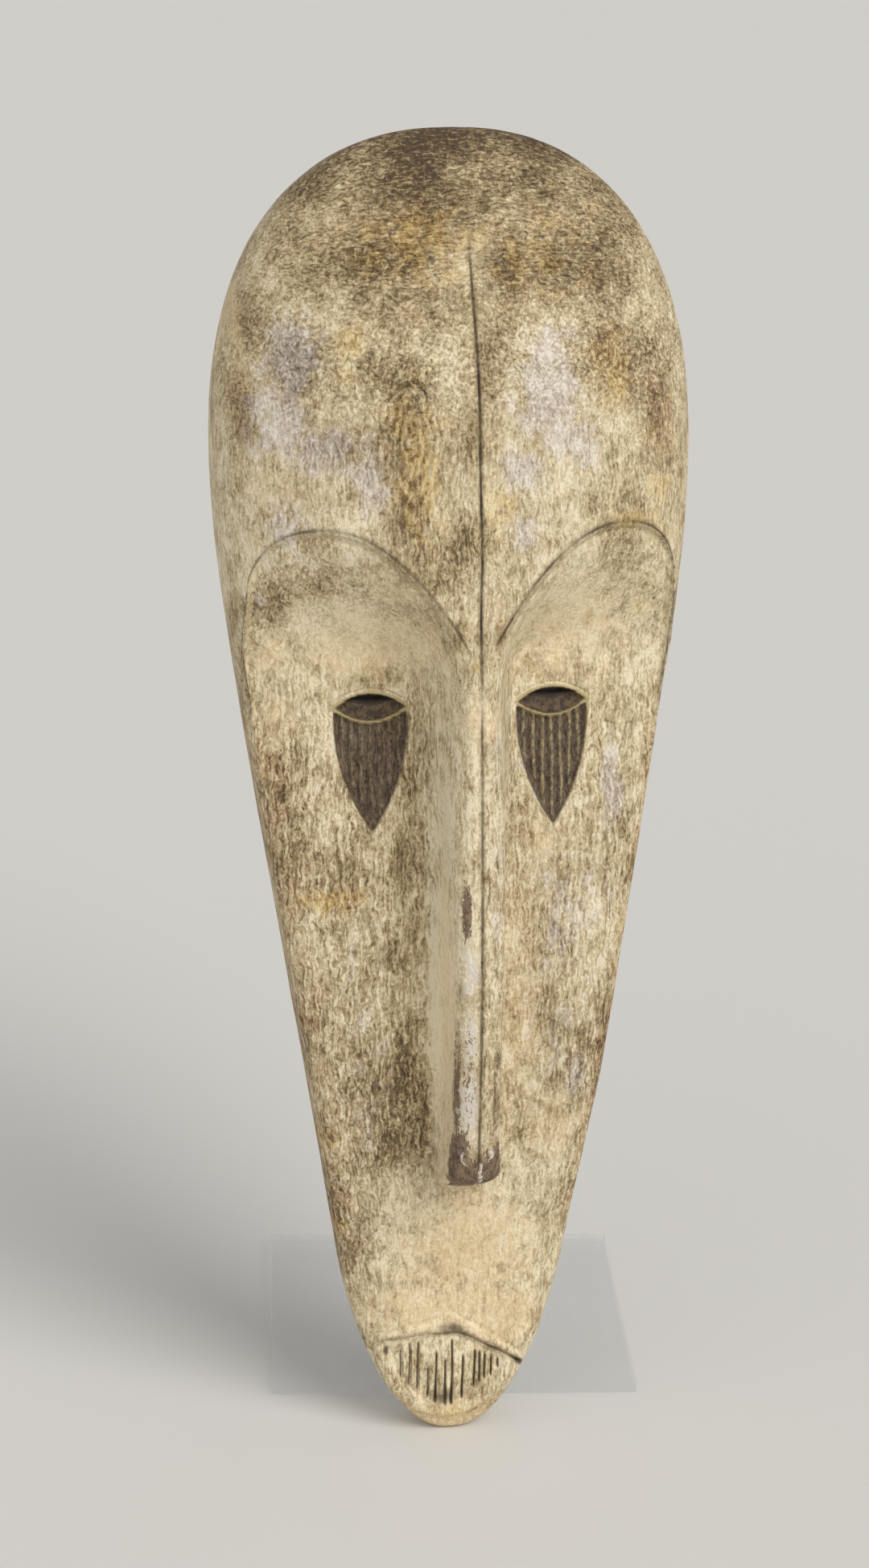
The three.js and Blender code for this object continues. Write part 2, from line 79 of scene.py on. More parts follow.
def place_camera():
    level = math.cos(CAMERA_ELEVATION)
    back = Vector((
        math.sin(CAMERA_AZIMUTH) * level,
        -math.cos(CAMERA_AZIMUTH) * level,
        math.sin(CAMERA_ELEVATION),
    ))
    right = Vector((0, 0, 1)).cross(back).normalized()
    up = back.cross(right)
    turned_right = right * math.cos(CAMERA_ROLL) + up * math.sin(CAMERA_ROLL)
    turned_up = up * math.cos(CAMERA_ROLL) - right * math.sin(CAMERA_ROLL)
    lens = bpy.data.cameras.new("camera")
    lens.sensor_width = SENSOR
    lens.lens = FOCAL_PIXELS / IMAGE_HEIGHT * SENSOR
    lens.clip_start = 0.05
    lens.clip_end = 100.0
    camera = placed("camera", lens)
    turn = Matrix((turned_right, turned_up, back)).transposed().to_4x4()
    camera.matrix_world = Matrix.Translation(CAMERA_AIM + back * CAMERA_DISTANCE) @ turn
    bpy.context.scene.camera = camera
    return camera


camera = place_camera()
print("camera at", [round(v, 3) for v in camera.location], "lens", round(camera.data.lens, 1))

# %% [markdown]
# ## The form of the mask
# The mask is described on its own flat back plane in millimetres: x across, h up from the
# chin, f forward. A sculptor would block it out, and a sculpted mesh could be used here, but
# the outline, the dome, the scooped cheeks and the bar of the nose each follow a simple
# curve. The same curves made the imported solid, so this finer mesh lies on it everywhere.

# %% Curves that shape the mask
HEIGHT = 601.5
WIDEST_AT = 463.0
HALF_WIDTH = 107.6
TAPER = 0.17
TAPER_EASE = 61.0
CROWN_POWER = 2.34
CHIN_RISE = 87.0
CHIN_POWER = 2.25
LEAST_HALF = 0.25


def clamp(t):
    return np.clip(t, 0.0, 1.0)


def mix(a, b, t):
    return a + (b - a) * t


def ease(t):
    return clamp(t) ** 2 * (3 - 2 * clamp(t))


def ease_over(v, start, end):
    return ease((v - start) / (end - start))


def round_off(r, power):
    return (1 - clamp(np.abs(r)) ** power) ** (1 / power)


def bell(distance, width):
    return np.exp(-((distance / width) ** 2))


def half_width(h):
    below = np.maximum(WIDEST_AT - h, 0)
    side = HALF_WIDTH - TAPER * (np.hypot(below, TAPER_EASE) - TAPER_EASE)
    crown = round_off(np.maximum(h - WIDEST_AT, 0) / (HEIGHT - WIDEST_AT), CROWN_POWER)
    chin = round_off(np.maximum(CHIN_RISE - h, 0) / CHIN_RISE, CHIN_POWER)
    return side * crown * chin


def share_out(x, h):
    return x / np.maximum(half_width(h), LEAST_HALF)


print("widest", 2 * round(float(half_width(WIDEST_AT)), 1), "mm")

# %% [markdown]
# ## The sunken face
# The forehead is a dome. Below the brows the cheeks are scooped out, and a small step marks
# the heart-shaped edge. Blending the two depths with an S-shaped curve gives the soft scoop
# under the brow that a gouge leaves.

# %% Depth of forehead and cheeks
SIDE_DEPTH, CHIN_DEPTH, SIDE_DEEPENS = 40.4, 20.0, (50.0, 195.0)
FOREHEAD_RISE, FOREHEAD_POWER = 58.0, 1.8
CHEEK_RISE, CHEEK_RISE_LOW, CHEEK_FILLS_OVER, CHEEK_POWER = 19.0, 13.0, 200.0, 2.4
CHIN_BEVEL = 60.0
BROW_PEAK_X, BROW_PEAK_H, BROW_DROP = 66.0, 431.0, 63.0
BROW_CORNER_W, BROW_CORNER_RISE, BROW_CORNER_POWER = 31.0, 36.0, 2.4
FACE_EDGE_INSET = 2.5
FACE_STEP, FACE_STEP_WIDTH, FACE_STEP_FADES = 2.6, 3.0, (290.0, 350.0)
SCOOP_AT_NOSE, SCOOP_AT_SIDE, SCOOP_WIDENS = 34.0, 62.0, (12.0, 57.0)


def side_depth(h):
    return mix(CHIN_DEPTH, SIDE_DEPTH, ease_over(h, *SIDE_DEEPENS))


def brow_line(x):
    a = np.abs(x)
    arch = BROW_PEAK_H - BROW_DROP * (1 - a / BROW_PEAK_X) ** 2
    corner = round_off(np.maximum(a - BROW_PEAK_X, 0) / BROW_CORNER_W, BROW_CORNER_POWER)
    return np.where(a < BROW_PEAK_X, arch, BROW_PEAK_H - BROW_CORNER_RISE * (1 - corner))


def face_edge(h):
    return np.minimum(BROW_PEAK_X + BROW_CORNER_W, half_width(h) - FACE_EDGE_INSET)


def inside_face(x, h):
    a = np.abs(x)
    slope = 2 * BROW_DROP * np.maximum(1 - a / BROW_PEAK_X, 0) / BROW_PEAK_X
    from_brow = (brow_line(x) - h) / np.hypot(1, slope)
    return np.minimum(from_brow, face_edge(h) - a)


def forehead_depth(x, h):
    up = round_off(np.maximum(h - WIDEST_AT, 0) / (HEIGHT - WIDEST_AT), FOREHEAD_POWER)
    return side_depth(h) + FOREHEAD_RISE * up * round_off(share_out(x, h), 2)


def cheek_depth(x, h):
    rise = mix(CHEEK_RISE_LOW, CHEEK_RISE, ease((h - CHIN_BEVEL) / CHEEK_FILLS_OVER))
    chin = round_off(np.maximum(CHIN_BEVEL - h, 0) / CHIN_BEVEL, 2)
    return side_depth(h) + rise * chin * round_off(share_out(x, h), CHEEK_POWER)


def face_depth(x, h):
    length = mix(SCOOP_AT_NOSE, SCOOP_AT_SIDE, ease_over(np.abs(x), *SCOOP_WIDENS))
    sunk = ease((brow_line(x) - h) / length)
    step = FACE_STEP * ease_over(h, *FACE_STEP_FADES) * ease(inside_face(x, h) / FACE_STEP_WIDTH)
    return mix(forehead_depth(x, h), cheek_depth(x, h), sunk) - step


print("the face lies", round(float(forehead_depth(0, 420) - cheek_depth(0, 300)), 1), "mm back")

# %% [markdown]
# ## The nose
# The nose is a long bar with upright sides and a rounded front. It grows out of the brow and
# ends in a cut-off tip. It could be a separate bar joined on, but on the real mask it is one
# wood with the face, so it is a raised part of the same depth, and its profile is the curve
# of a rounded box. The rows of the mesh bend with the rounded end.

# %% Depth of the nose
NOSE_TOP, NOSE_TIP, NOSE_END, NOSE_END_ROUND = 372.0, 135.5, 123.5, 0.3
NOSE_RIDGE, NOSE_RIDGE_DROP, NOSE_MEETS_BROW = 98.6, 15.0, 50.0
NOSE_HALF, NOSE_TOP_EXTRA, NOSE_FLARE, NOSE_FLARE_REACH = 11.3, 2.7, 1.4, 16.0
NOSE_POWER, NOSE_SOFTENS, NOSE_SOFT_HALF, NOSE_SOFT_POWER = 5.5, (250.0, 345.0), 15.0, 3.4
TIP_BEND, TIP_REACH, TIP_BEND_WIDTHS, TIP_ABOVE = 2.2, 22.0, 1.6, 4.0


def tip_bend(x):
    return TIP_BEND * np.minimum(np.abs(x) / NOSE_HALF, TIP_BEND_WIDTHS) ** 2


def bend_share(h):
    return bell(np.maximum(np.maximum(h - NOSE_TIP - TIP_ABOVE, NOSE_END - h), 0), TIP_REACH)


def nose_half(h):
    up = ease_over(h, NOSE_TIP, NOSE_TOP)
    return NOSE_HALF + NOSE_TOP_EXTRA * up + NOSE_FLARE * bell(h - NOSE_TIP, NOSE_FLARE_REACH)


def rounded_rise(t):
    top = 1 - np.maximum(1 + NOSE_END_ROUND - t, 0) ** 2 / (4 * NOSE_END_ROUND)
    return np.where(t < 1 - NOSE_END_ROUND, np.maximum(t, 0), top)


def nose_share(x, h):
    firm = round_off(x / nose_half(h), NOSE_POWER)
    soft = 0.5 ** ((np.abs(x) / NOSE_SOFT_HALF) ** NOSE_SOFT_POWER)
    end = rounded_rise((h - NOSE_END - tip_bend(x)) / (NOSE_TIP - NOSE_END))
    return mix(firm, soft, ease_over(h, *NOSE_SOFTENS)) * end


def front_depth(x, h):
    face = face_depth(x, h)
    down = clamp((NOSE_TOP - h) / (NOSE_TOP - NOSE_TIP))
    ridge = NOSE_RIDGE - NOSE_RIDGE_DROP * down**3
    fade = 1 - ease((h - NOSE_TOP) / NOSE_MEETS_BROW)
    return face + np.maximum(ridge - face, 0) * nose_share(x, h) * fade


print("nose stands", round(float(front_depth(0, 200) - front_depth(30, 200)), 1), "mm proud")

# %% [markdown]
# ## The hollow behind
# The back was scooped out with a gouge, leaving walls of 12 to 25 mm. The hollow keeps the
# outline of the mask, a little smaller, and gets deeper behind the forehead.

# %% Depth of the hollow
HOLLOW_LOW, HOLLOW_HIGH, HOLLOW_SCALE, HOLLOW_POWER = 26.0, 583.0, 0.83, 3.2
HOLLOW_CHIN, HOLLOW_CHIN_BEVEL = 15.0, 40.0
HOLLOW_FACE, HOLLOW_FACE_FROM = 43.0, (60.0, 210.0)
HOLLOW_FOREHEAD, HOLLOW_FOREHEAD_FROM, HOLLOW_CROWN_POWER = 82.0, (360.0, 445.0), 2.2


def hollow_depth(h):
    face = mix(HOLLOW_CHIN, HOLLOW_FACE, ease_over(h, *HOLLOW_FACE_FROM))
    middle = mix(face, HOLLOW_FOREHEAD, ease_over(h, *HOLLOW_FOREHEAD_FROM))
    up = np.maximum(h - WIDEST_AT, 0) / (HOLLOW_HIGH - WIDEST_AT)
    down = np.maximum(HOLLOW_LOW + HOLLOW_CHIN_BEVEL - h, 0) / HOLLOW_CHIN_BEVEL
    return middle * round_off(up, HOLLOW_CROWN_POWER) * round_off(down, 2)


print("hollow depth behind the eyes", round(float(hollow_depth(349)), 1), "mm")

# %% [markdown]
# ## Eyes, shields, mouth and lines
# Everything cut into the surface is given as a depth in millimetres at each place, positive
# into the wood. Separate cutters could carve each line, but a depth that fades to both sides
# leaves the soft worn edges of a knife cut. First come the places: how far any point lies
# from each carved line.

# %% Distances to the carved lines
EYE_X, EYE_H, EYE_HALF, LID_RISE, LID_FALL = 41.3, 349.0, 17.0, 6.5, 6.8
SHIELD_TOP, SHIELD_LENGTH, SHIELD_HALF, SHIELD_POWER = 345.5, 53.0, 16.8, 2.2
MOUTH_LEFT, MOUTH_RIGHT, MOUTH_H = -40.0, 34.0, 49.5
MOUTH_DROP_LEFT, MOUTH_DROP_RIGHT, MOUTH_CURVE_LEFT, MOUTH_CURVE_RIGHT = 5.0, 20.0, 3.0, 1.25
TEETH_X, TEETH_HALF, TEETH_CENTRE_H, TEETH_FALL = -3.0, 29.5, 45.0, 33.0
CENTRE_LINE_TOP, CENTRE_LINE_END = 555.0, 137.0


def off_centre_line(x, h):
    wander = 0.5 * np.sin(h / 31) + 0.3 * np.sin(h / 13 + 1)
    return x - wander * ease_over(h, 380, 420)


def from_eye(x):
    return np.abs(np.abs(x) - EYE_X)


def inside_almond(x, h):
    t = clamp(from_eye(x) / EYE_HALF)
    above = LID_RISE * (1 - t**2) - (h - EYE_H)
    below = LID_FALL * (1 - t**2) + (h - EYE_H)
    slope = 2 * LID_RISE * t / EYE_HALF
    past = np.maximum(from_eye(x) - EYE_HALF, 0)
    return np.minimum(above, below) / np.hypot(1, slope) - past


def shield_half(h):
    return SHIELD_HALF * (1 - clamp((SHIELD_TOP - h) / SHIELD_LENGTH) ** SHIELD_POWER)


def inside_shield(x, h):
    side = shield_half(h) - from_eye(x)
    down = clamp((SHIELD_TOP - h) / SHIELD_LENGTH)
    slope = SHIELD_HALF * SHIELD_POWER * down ** (SHIELD_POWER - 1) / SHIELD_LENGTH
    return np.minimum(side / np.hypot(1, slope), SHIELD_TOP + 2 - h)


def mouth_line(x):
    left = MOUTH_DROP_LEFT * clamp(x / MOUTH_LEFT) ** MOUTH_CURVE_LEFT
    right = MOUTH_DROP_RIGHT * clamp(x / MOUTH_RIGHT) ** MOUTH_CURVE_RIGHT
    return MOUTH_H - np.where(x < 0, left, right)


def above_mouth(x, h):
    slope = np.where(x > 0, MOUTH_DROP_RIGHT / MOUTH_RIGHT * clamp(x / 12), 0)
    return (h - mouth_line(x)) / np.hypot(1, slope)


def inside_teeth(x, h):
    bowl = TEETH_FALL * (1 - np.hypot((x - TEETH_X) / TEETH_HALF, (TEETH_CENTRE_H - h) / TEETH_FALL))
    level = np.maximum(TEETH_CENTRE_H - h, 0)
    side = TEETH_HALF - np.abs(x - TEETH_X)
    return np.minimum(np.where(level > 0, bowl, side), -above_mouth(x, h))


print("mouth line at both ends", mouth_line(np.array([MOUTH_LEFT, MOUTH_RIGHT])))

# %% [markdown]
# The cuts themselves follow. The brow is a narrow raised band between two fine lines, the
# lids are thin raised rims round the slit, the shields below them are sunk and grooved, and
# the teeth are knife cuts in a shallow bowl under the lip.

# %% Depth of the lines on brow, forehead and nose
LINE_WIDTH, LINE_DEPTH, GROOVE_SHARE = 1.5, 1.0, 0.42
BROW_BAND, BROW_BAND_HALF, BROW_BAND_FROM = 3.9, 1.2, (372.0, 392.0)
BROW_LINES_FROM, BESIDE_NOSE = (330.0, 372.0), (5.0, 8.0)
PHILTRUM_WIDTH, PHILTRUM_DEPTH = 1.8, 0.35
PHILTRUM_LOW, PHILTRUM_HIGH = (55.0, 62.0), (118.0, 104.0)


def groove(distance, width=LINE_WIDTH, depth=LINE_DEPTH):
    return depth * bell(distance, GROOVE_SHARE * width)


def centre_line(x, h):
    top = ease_over(h, CENTRE_LINE_TOP, CENTRE_LINE_TOP - 60)
    tail = ease_over(h, CENTRE_LINE_END, CENTRE_LINE_END + 6)
    gap = 1 - 0.75 * bell(h - 355, 14)
    cut = groove(off_centre_line(x, h)) * (0.4 + 0.6 * top) * tail * gap
    return np.where((h > CENTRE_LINE_TOP) | (h < CENTRE_LINE_END), 0, cut)


def philtrum(x, h):
    wander = 0.8 + 0.5 * np.sin(h / 7)
    broken_up = 0.6 + 0.4 * np.sin(h / 4.3)
    ends = ease_over(h, *PHILTRUM_LOW) * ease_over(h, *PHILTRUM_HIGH)
    return groove(x - wander, PHILTRUM_WIDTH, PHILTRUM_DEPTH) * broken_up * ends


def along_brow(x, h, start):
    return ease_over(h, *start) * ease_over(np.abs(x), *BESIDE_NOSE)


def brow_lines(x, h):
    d = inside_face(x, h)
    second = 0.6 * groove(d - BROW_BAND) * ease_over(h, *BROW_BAND_FROM)
    return (groove(d) + second) * along_brow(x, h, BROW_LINES_FROM)


def brow_band(x, h):
    across = bell(inside_face(x, h) - BROW_BAND / 2, BROW_BAND_HALF)
    return across * along_brow(x, h, BROW_BAND_FROM)


def line_cuts(x, h):
    return centre_line(x, h) + philtrum(x, h) + brow_lines(x, h) - 0.45 * brow_band(x, h)


print("brow line at its outer corner", brow_line(np.array([BROW_PEAK_X + BROW_CORNER_W])))

# %% Depth of eyes and shields
SHIELD_PITCH, SHIELD_SINK = SHIELD_HALF / 4, 1.2
LID_LINE_OFF, LID_HEIGHT = 2.0, 0.9


def below_lids(x, h):
    return inside_shield(x, h) * ease(-inside_almond(x, h) / 1.2)


def shield_crest(x, h):
    across = np.abs(x) - EYE_X + 0.25 * np.sin(h / 6 + 2 * np.round(np.abs(x) / SHIELD_PITCH))
    return 0.5 - 0.5 * np.cos(2 * np.pi * across / SHIELD_PITCH + np.pi)


def lid_rim(x, h):
    return bell(inside_almond(x, h) + 0.1, 0.8)


def lid_outline(x, h):
    return groove(inside_almond(x, h) + LID_LINE_OFF) * ease_over(h, EYE_H, EYE_H + 3)


def eye_cuts(x, h):
    almond = inside_almond(x, h)
    hollow = 2.0 * ease((almond - 0.4) / 2.6) + 0.45 * lid_outline(x, h)
    s = below_lids(x, h)
    grooves = 1.5 * ease((1 - shield_crest(x, h) - 0.32) / 0.68) * ease((s - 0.6) / 1.4)
    pan = SHIELD_SINK * ease(s / 1.1)
    edge = -0.4 * bell(s + 0.5, 0.7) * ease(-almond / 1.5)
    near = from_eye(x) < EYE_HALF + 6
    return np.where(near, hollow - LID_HEIGHT * lid_rim(x, h) + pan + grooves + edge, 0)


across_shield = np.linspace(EYE_X - SHIELD_HALF, EYE_X + SHIELD_HALF, 300)
print("deepest cut in the shield", round(float(np.max(eye_cuts(across_shield, 330.0))), 1), "mm")

# %% Depth of mouth and teeth
LIP_WIDTH, LIP_NARROWS, LIP_PEAK, LIP_PEAK_X, LIP_PEAK_HALF = 7.0, 46.0, 3.5, -2.5, 4.5
TEETH_SINK, CHIN_RIM, CHIN_RIM_OUT, CHIN_RIM_HALF = 2.0, 1.5, 3.0, 2.4
# Each knife cut between the teeth: where it is across, its top and its bottom.
TOOTH_CUTS = (
    (-25.3, 43, 27), (-21.3, 46, 23), (-17.4, 46, 21), (-12.6, 33, 17), (-8.8, 40, 14),
    (-4.3, 36, 12.5), (-1.2, 46, 12), (3.9, 38, 15), (9.6, 40, 20), (12.0, 39, 22),
    (14.6, 38, 24), (17.6, 36, 25), (21.0, 35, 29),
)


def lip_width(x):
    narrow = LIP_WIDTH * (1 - (x / LIP_NARROWS) ** 2)
    return np.maximum(narrow, 2) + LIP_PEAK * bell(x - LIP_PEAK_X, LIP_PEAK_HALF)


def mouth_ends(x, h):
    room = half_width(h) - np.abs(x)
    return ease((x - MOUTH_LEFT) / 5) * ease((MOUTH_RIGHT + 1 - x) / 3) * ease(room / 4)


def off_lip_cut(x, h):
    return above_mouth(x, h) - 0.3 * np.sin(x / 3.1)


def lip_lines(x, h):
    upper = groove(above_mouth(x, h) - lip_width(x), 2.4, 0.7)
    lower = groove(off_lip_cut(x, h), 2.2, 1.1) * (1 + 0.5 * ease_over(x, -10, 25))
    return (lower + upper) * mouth_ends(x, h)


def lip_peak(x, h):
    return bell(x - LIP_PEAK_X, 5.5) * bell(above_mouth(x, h) - 3, 3.8)


def tooth_cuts(x, h):
    lines = 0
    for at, top, bottom in TOOTH_CUTS:
        off = x - at + 0.12 * np.sin(h / 5 + at)
        lines = lines + bell(off, 0.55) * ease((top + 1 - h) / 3) * ease((h - bottom + 1) / 3)
    return lines * ease((inside_teeth(x, h) + 0.4) / 1.5)


def mouth_notches(x, h):
    left = bell(x + 32.3, 1.5) * bell(h - 42, 3.5)
    right = bell(x - 31.5, 3.2) * bell(above_mouth(x, h), 1.8)
    return left + right


def mouth_cuts(x, h):
    up = above_mouth(x, h)
    width = lip_width(x)
    roll = -0.5 * bell(up - width / 2, width / 3) * mouth_ends(x, h) * (1 - bell(x - LIP_PEAK_X, 6))
    s = inside_teeth(x, h)
    pan = TEETH_SINK * ease(s / 2.2)
    border = -CHIN_RIM * bell(s + CHIN_RIM_OUT, CHIN_RIM_HALF) * ease(-up / 3) * (h < 60)
    deep = 0.8 * lip_peak(x, h) + 1.3 * tooth_cuts(x, h) + 0.9 * mouth_notches(x, h)
    return lip_lines(x, h) + roll + pan + border + deep


def carving(x, h):
    return line_cuts(x, h) + eye_cuts(x, h) + mouth_cuts(x, h)


print("cut depth on the mouth line", round(float(carving(-20.0, float(mouth_line(-20.0)))), 1), "mm")

# %% [markdown]
# ## One sheet wrapped round the wood
# The skin of the mask is one sheet, wrapped over the front, round the side walls, across the
# back rim and down into the hollow, where its two long edges meet. The sheet starts as a
# plain grid and is cut finer only where carving needs it. An even grid fine enough for the
# knife cuts would need many times the faces.

# %% Grid of the sheet
ROW_STEP, END_STEP, END_GROWTH = 3.2, 0.25, 0.15
NOSE_ZONE_SHARE, NOSE_COLUMN_SHARE, NOSE_FLAT, NOSE_FLAT_COLUMNS = 0.4, 0.28, 0.75, 0.5
FRONT_COLUMNS, RIM_COLUMNS, HOLLOW_COLUMNS = 58, 3, 14
WALL_STATIONS = (0.14, 0.28, 0.43, 0.58, 0.73, 0.86, 0.93, 0.965, 0.985, 1.0)
BACK_TUCK, BACK_ROUND = 5.0, 2.2


def row_heights():
    rows = [0.0]
    while rows[-1] < HEIGHT:
        room = min(rows[-1], HEIGHT - rows[-1])
        rows.append(rows[-1] + min(ROW_STEP, max(END_STEP, END_GROWTH * room)))
    return np.array(rows[:-1] + [HEIGHT])


def stations():
    front = np.linspace(0, 1, FRONT_COLUMNS + 1)
    wall = 1 + np.array(WALL_STATIONS)
    rim = 2 + np.linspace(0, 1, RIM_COLUMNS + 1)[1:]
    hollow = 3 + np.linspace(0, 1, HOLLOW_COLUMNS + 1)[1:]
    half = np.concatenate([front, wall, rim, hollow])
    return np.concatenate([-half[:0:-1], half])


ROWS = row_heights()
STATIONS = stations()
print("grid of", len(STATIONS), "by", len(ROWS))

# %% Wrap a place on the sheet round the wood


def on_front(share, h):
    half = half_width(h)
    zone = np.minimum(nose_half(h), NOSE_ZONE_SHARE * half)
    t = clamp(share / NOSE_COLUMN_SHARE)
    start = math.asin(NOSE_FLAT ** (NOSE_POWER / 2))
    turn = mix(start, np.pi / 2, clamp((t - NOSE_FLAT_COLUMNS) / (1 - NOSE_FLAT_COLUMNS)))
    corner = np.sin(turn) ** (2 / NOSE_POWER)
    round_nose = np.where(t < NOSE_FLAT_COLUMNS, NOSE_FLAT * t / NOSE_FLAT_COLUMNS, corner)
    past = clamp((share - NOSE_COLUMN_SHARE) / (1 - NOSE_COLUMN_SHARE))
    x = mix(zone * round_nose, half, np.sin(np.pi / 2 * past))
    up = h + bend_share(h) * tip_bend(x)
    x = np.where(share > NOSE_COLUMN_SHARE, x, x * nose_half(up) / nose_half(h))
    return x, front_depth(x, up), up


def on_wall(s, h):
    f = (1 - s) * side_depth(h)
    worn = BACK_ROUND * (1 - np.sqrt(1 - clamp(1 - f / BACK_ROUND) ** 2))
    tuck = BACK_TUCK * s**2 + worn
    return half_width(h) * (1 - tuck / HALF_WIDTH), f, mix(h, HEIGHT / 2, 2 * tuck / HEIGHT)


def in_hollow(s, h):
    r = np.cos(np.pi / 2 * s)
    up = mix(HOLLOW_LOW, HOLLOW_HIGH, h / HEIGHT)
    return HOLLOW_SCALE * half_width(h) * r, hollow_depth(up) * round_off(r, HOLLOW_POWER), up


def wrap(u, v):
    h = np.interp(v, np.arange(len(ROWS)), ROWS)
    a = np.abs(u)
    front = on_front(clamp(a), h)
    wall = on_wall(clamp(a - 1), h)
    hollow = in_hollow(clamp(a - 3), h)
    back = on_wall(np.ones_like(h), h)
    edge = in_hollow(np.zeros_like(h), h)
    rim = [mix(b, e, clamp(a - 2)) for b, e in zip(back, edge)]
    zones = [a <= 1, a <= 2, a <= 3]
    x, f, up = (np.select(zones, [p, q, r], default=s) for p, q, r, s in zip(front, wall, rim, hollow))
    return np.stack([np.sign(u) * x, f, up], axis=-1)


print("middle of the forehead", wrap(np.array([0.0]), np.array([len(ROWS) * 0.8])).round(1))

# %% [markdown]
# The grid is then cut finer near the carving: once within a few millimetres of it, and once
# more right on it.

# %% Cut the sheet finer where the carving is
NEAR_CARVING, ON_CARVING, FAR_OFF, LINE_MARGIN = 3.6, 0.9, 4.6, 0.8


def outside_box(x, h, low, high):
    dx = np.maximum(np.maximum(low[0] - x, x - high[0]), 0)
    dh = np.maximum(np.maximum(low[1] - h, h - high[1]), 0)
    return np.hypot(dx, dh)


def carving_distance(x, h):
    a = np.abs(x)
    centre = a - LINE_MARGIN + outside_box(x, h, (-9, CENTRE_LINE_END), (9, CENTRE_LINE_TOP))
    brow = np.abs(inside_face(x, h) - BROW_BAND / 2) - BROW_BAND / 2 - 0.6
    brow = np.where(h > 345, brow, FAR_OFF)
    eyes = outside_box(a, h, (EYE_X - 19, SHIELD_TOP - 54), (EYE_X + 19, EYE_H + 9))
    wide = half_width(h) - 4
    mouth = outside_box(x, h, (-41, 10), (36, 59)) + np.maximum(a - wide, 0)
    tip = outside_box(a, h, (0, NOSE_END - 1), (14, NOSE_TIP + 6)) + ON_CARVING
    above_lip = (h > PHILTRUM_LOW[0]) & (h < PHILTRUM_HIGH[0])
    lip = np.where(above_lip, a - LINE_MARGIN, FAR_OFF)
    return np.minimum.reduce([centre, brow, eyes, mouth, tip, lip])


def flat_sheet():
    rows = np.arange(len(ROWS))
    grid = np.stack(np.meshgrid(STATIONS, rows), axis=-1).reshape(-1, 2)
    wide = len(STATIONS)
    quads = [
        (j * wide + i, j * wide + i + 1, (j + 1) * wide + i + 1, (j + 1) * wide + i)
        for j in range(len(rows) - 1)
        for i in range(wide - 1)
    ]
    mesh = bpy.data.meshes.new("sheet")
    mesh.from_pydata([(u, v, 0) for u, v in grid.tolist()], [], quads)
    return mesh


def cut_finer(bm, reach):
    middles = np.array([(e.verts[0].co + e.verts[1].co)[:2] for e in bm.edges]) / 2
    spots = wrap(middles[:, 0], middles[:, 1])
    near = (np.abs(middles[:, 0]) < 1) & (carving_distance(spots[:, 0], spots[:, 2]) < reach)
    edges = [e for e, wanted in zip(bm.edges, near) if wanted]
    bmesh.ops.subdivide_edges(bm, edges=edges, cuts=1, use_grid_fill=True)
    return len(edges)


def cut_sheet():
    bm = bmesh.new()
    bm.from_mesh(flat_sheet())
    counts = [cut_finer(bm, reach) for reach in (NEAR_CARVING, ON_CARVING)]
    bmesh.ops.triangulate(bm, faces=bm.faces)
    print("edges cut in each round", counts, "triangles", len(bm.faces))
    return bm


sheet = cut_sheet()

# %% [markdown]
# ## From sheet to wood
# Each place on the sheet is moved to its place on the mask, and the two long edges and both
# collapsed ends are merged, so the skin is closed. The depth of the carving is kept as an
# attribute, and a Geometry Nodes tree cuts it in along the surface's own direction. The same
# tree adds what the hand leaves everywhere: flat facets outside, gouge scoops in the hollow.

# %% Wrap the sheet
LEAN, CHIN_Y, LIFT = math.radians(7.2), -99.0, -2.2223
WELD = 2e-6
CUT_FADES, WEAR_FADES, HOLLOW_STARTS, HOLLOW_BLENDS = 12, 20, 2.9, 0.3


def leaned(points):
    x, f, h = points.T
    y = -f * math.cos(LEAN) + h * math.sin(LEAN) + CHIN_Y
    z = f * math.sin(LEAN) + h * math.cos(LEAN) + LIFT
    return np.stack([x, y, z], axis=-1) * MM


def upright_again(points):
    x, y, z = points.T / MM
    y, z = y - CHIN_Y, z - LIFT
    f = -y * math.cos(LEAN) + z * math.sin(LEAN)
    h = y * math.sin(LEAN) + z * math.cos(LEAN)
    return np.stack([x, f, h], axis=-1)


def open_edges(bm):
    return sum(len(edge.link_faces) != 2 for edge in bm.edges)


def mesh_from(bm, name):
    mesh = bpy.data.meshes.new(name)
    bm.to_mesh(mesh)
    bm.free()
    return mesh


def wrapped_mesh(bm):
    flat = np.array([v.co[:2] for v in bm.verts])
    spots = wrap(flat[:, 0], flat[:, 1])
    for vert, place in zip(bm.verts, leaned(spots).tolist()):
        vert.co = place
    depth = np.where(np.abs(flat[:, 0]) < 1, carving(spots[:, 0], spots[:, 2]), 0)
    near_end = np.minimum(flat[:, 1], len(ROWS) - 1 - flat[:, 1])
    layers = {
        "cut": depth * ease(near_end / CUT_FADES),
        "inside": ease((np.abs(flat[:, 0]) - HOLLOW_STARTS) / HOLLOW_BLENDS),
        "near_end": ease(near_end / WEAR_FADES),
    }
    for name, values in layers.items():
        layer = bm.verts.layers.float.new(name)
        for vert, value in zip(bm.verts, values.tolist()):
            vert[layer] = value
    bmesh.ops.remove_doubles(bm, verts=bm.verts, dist=WELD)
    bmesh.ops.dissolve_degenerate(bm, edges=bm.edges, dist=WELD)
    bmesh.ops.recalc_face_normals(bm, faces=bm.faces)
    print("open edges", open_edges(bm), "litres of wood", round(bm.calc_volume() * 1000, 3))
    return mesh_from(bm, "mask_blank")


blank = wrapped_mesh(sheet)

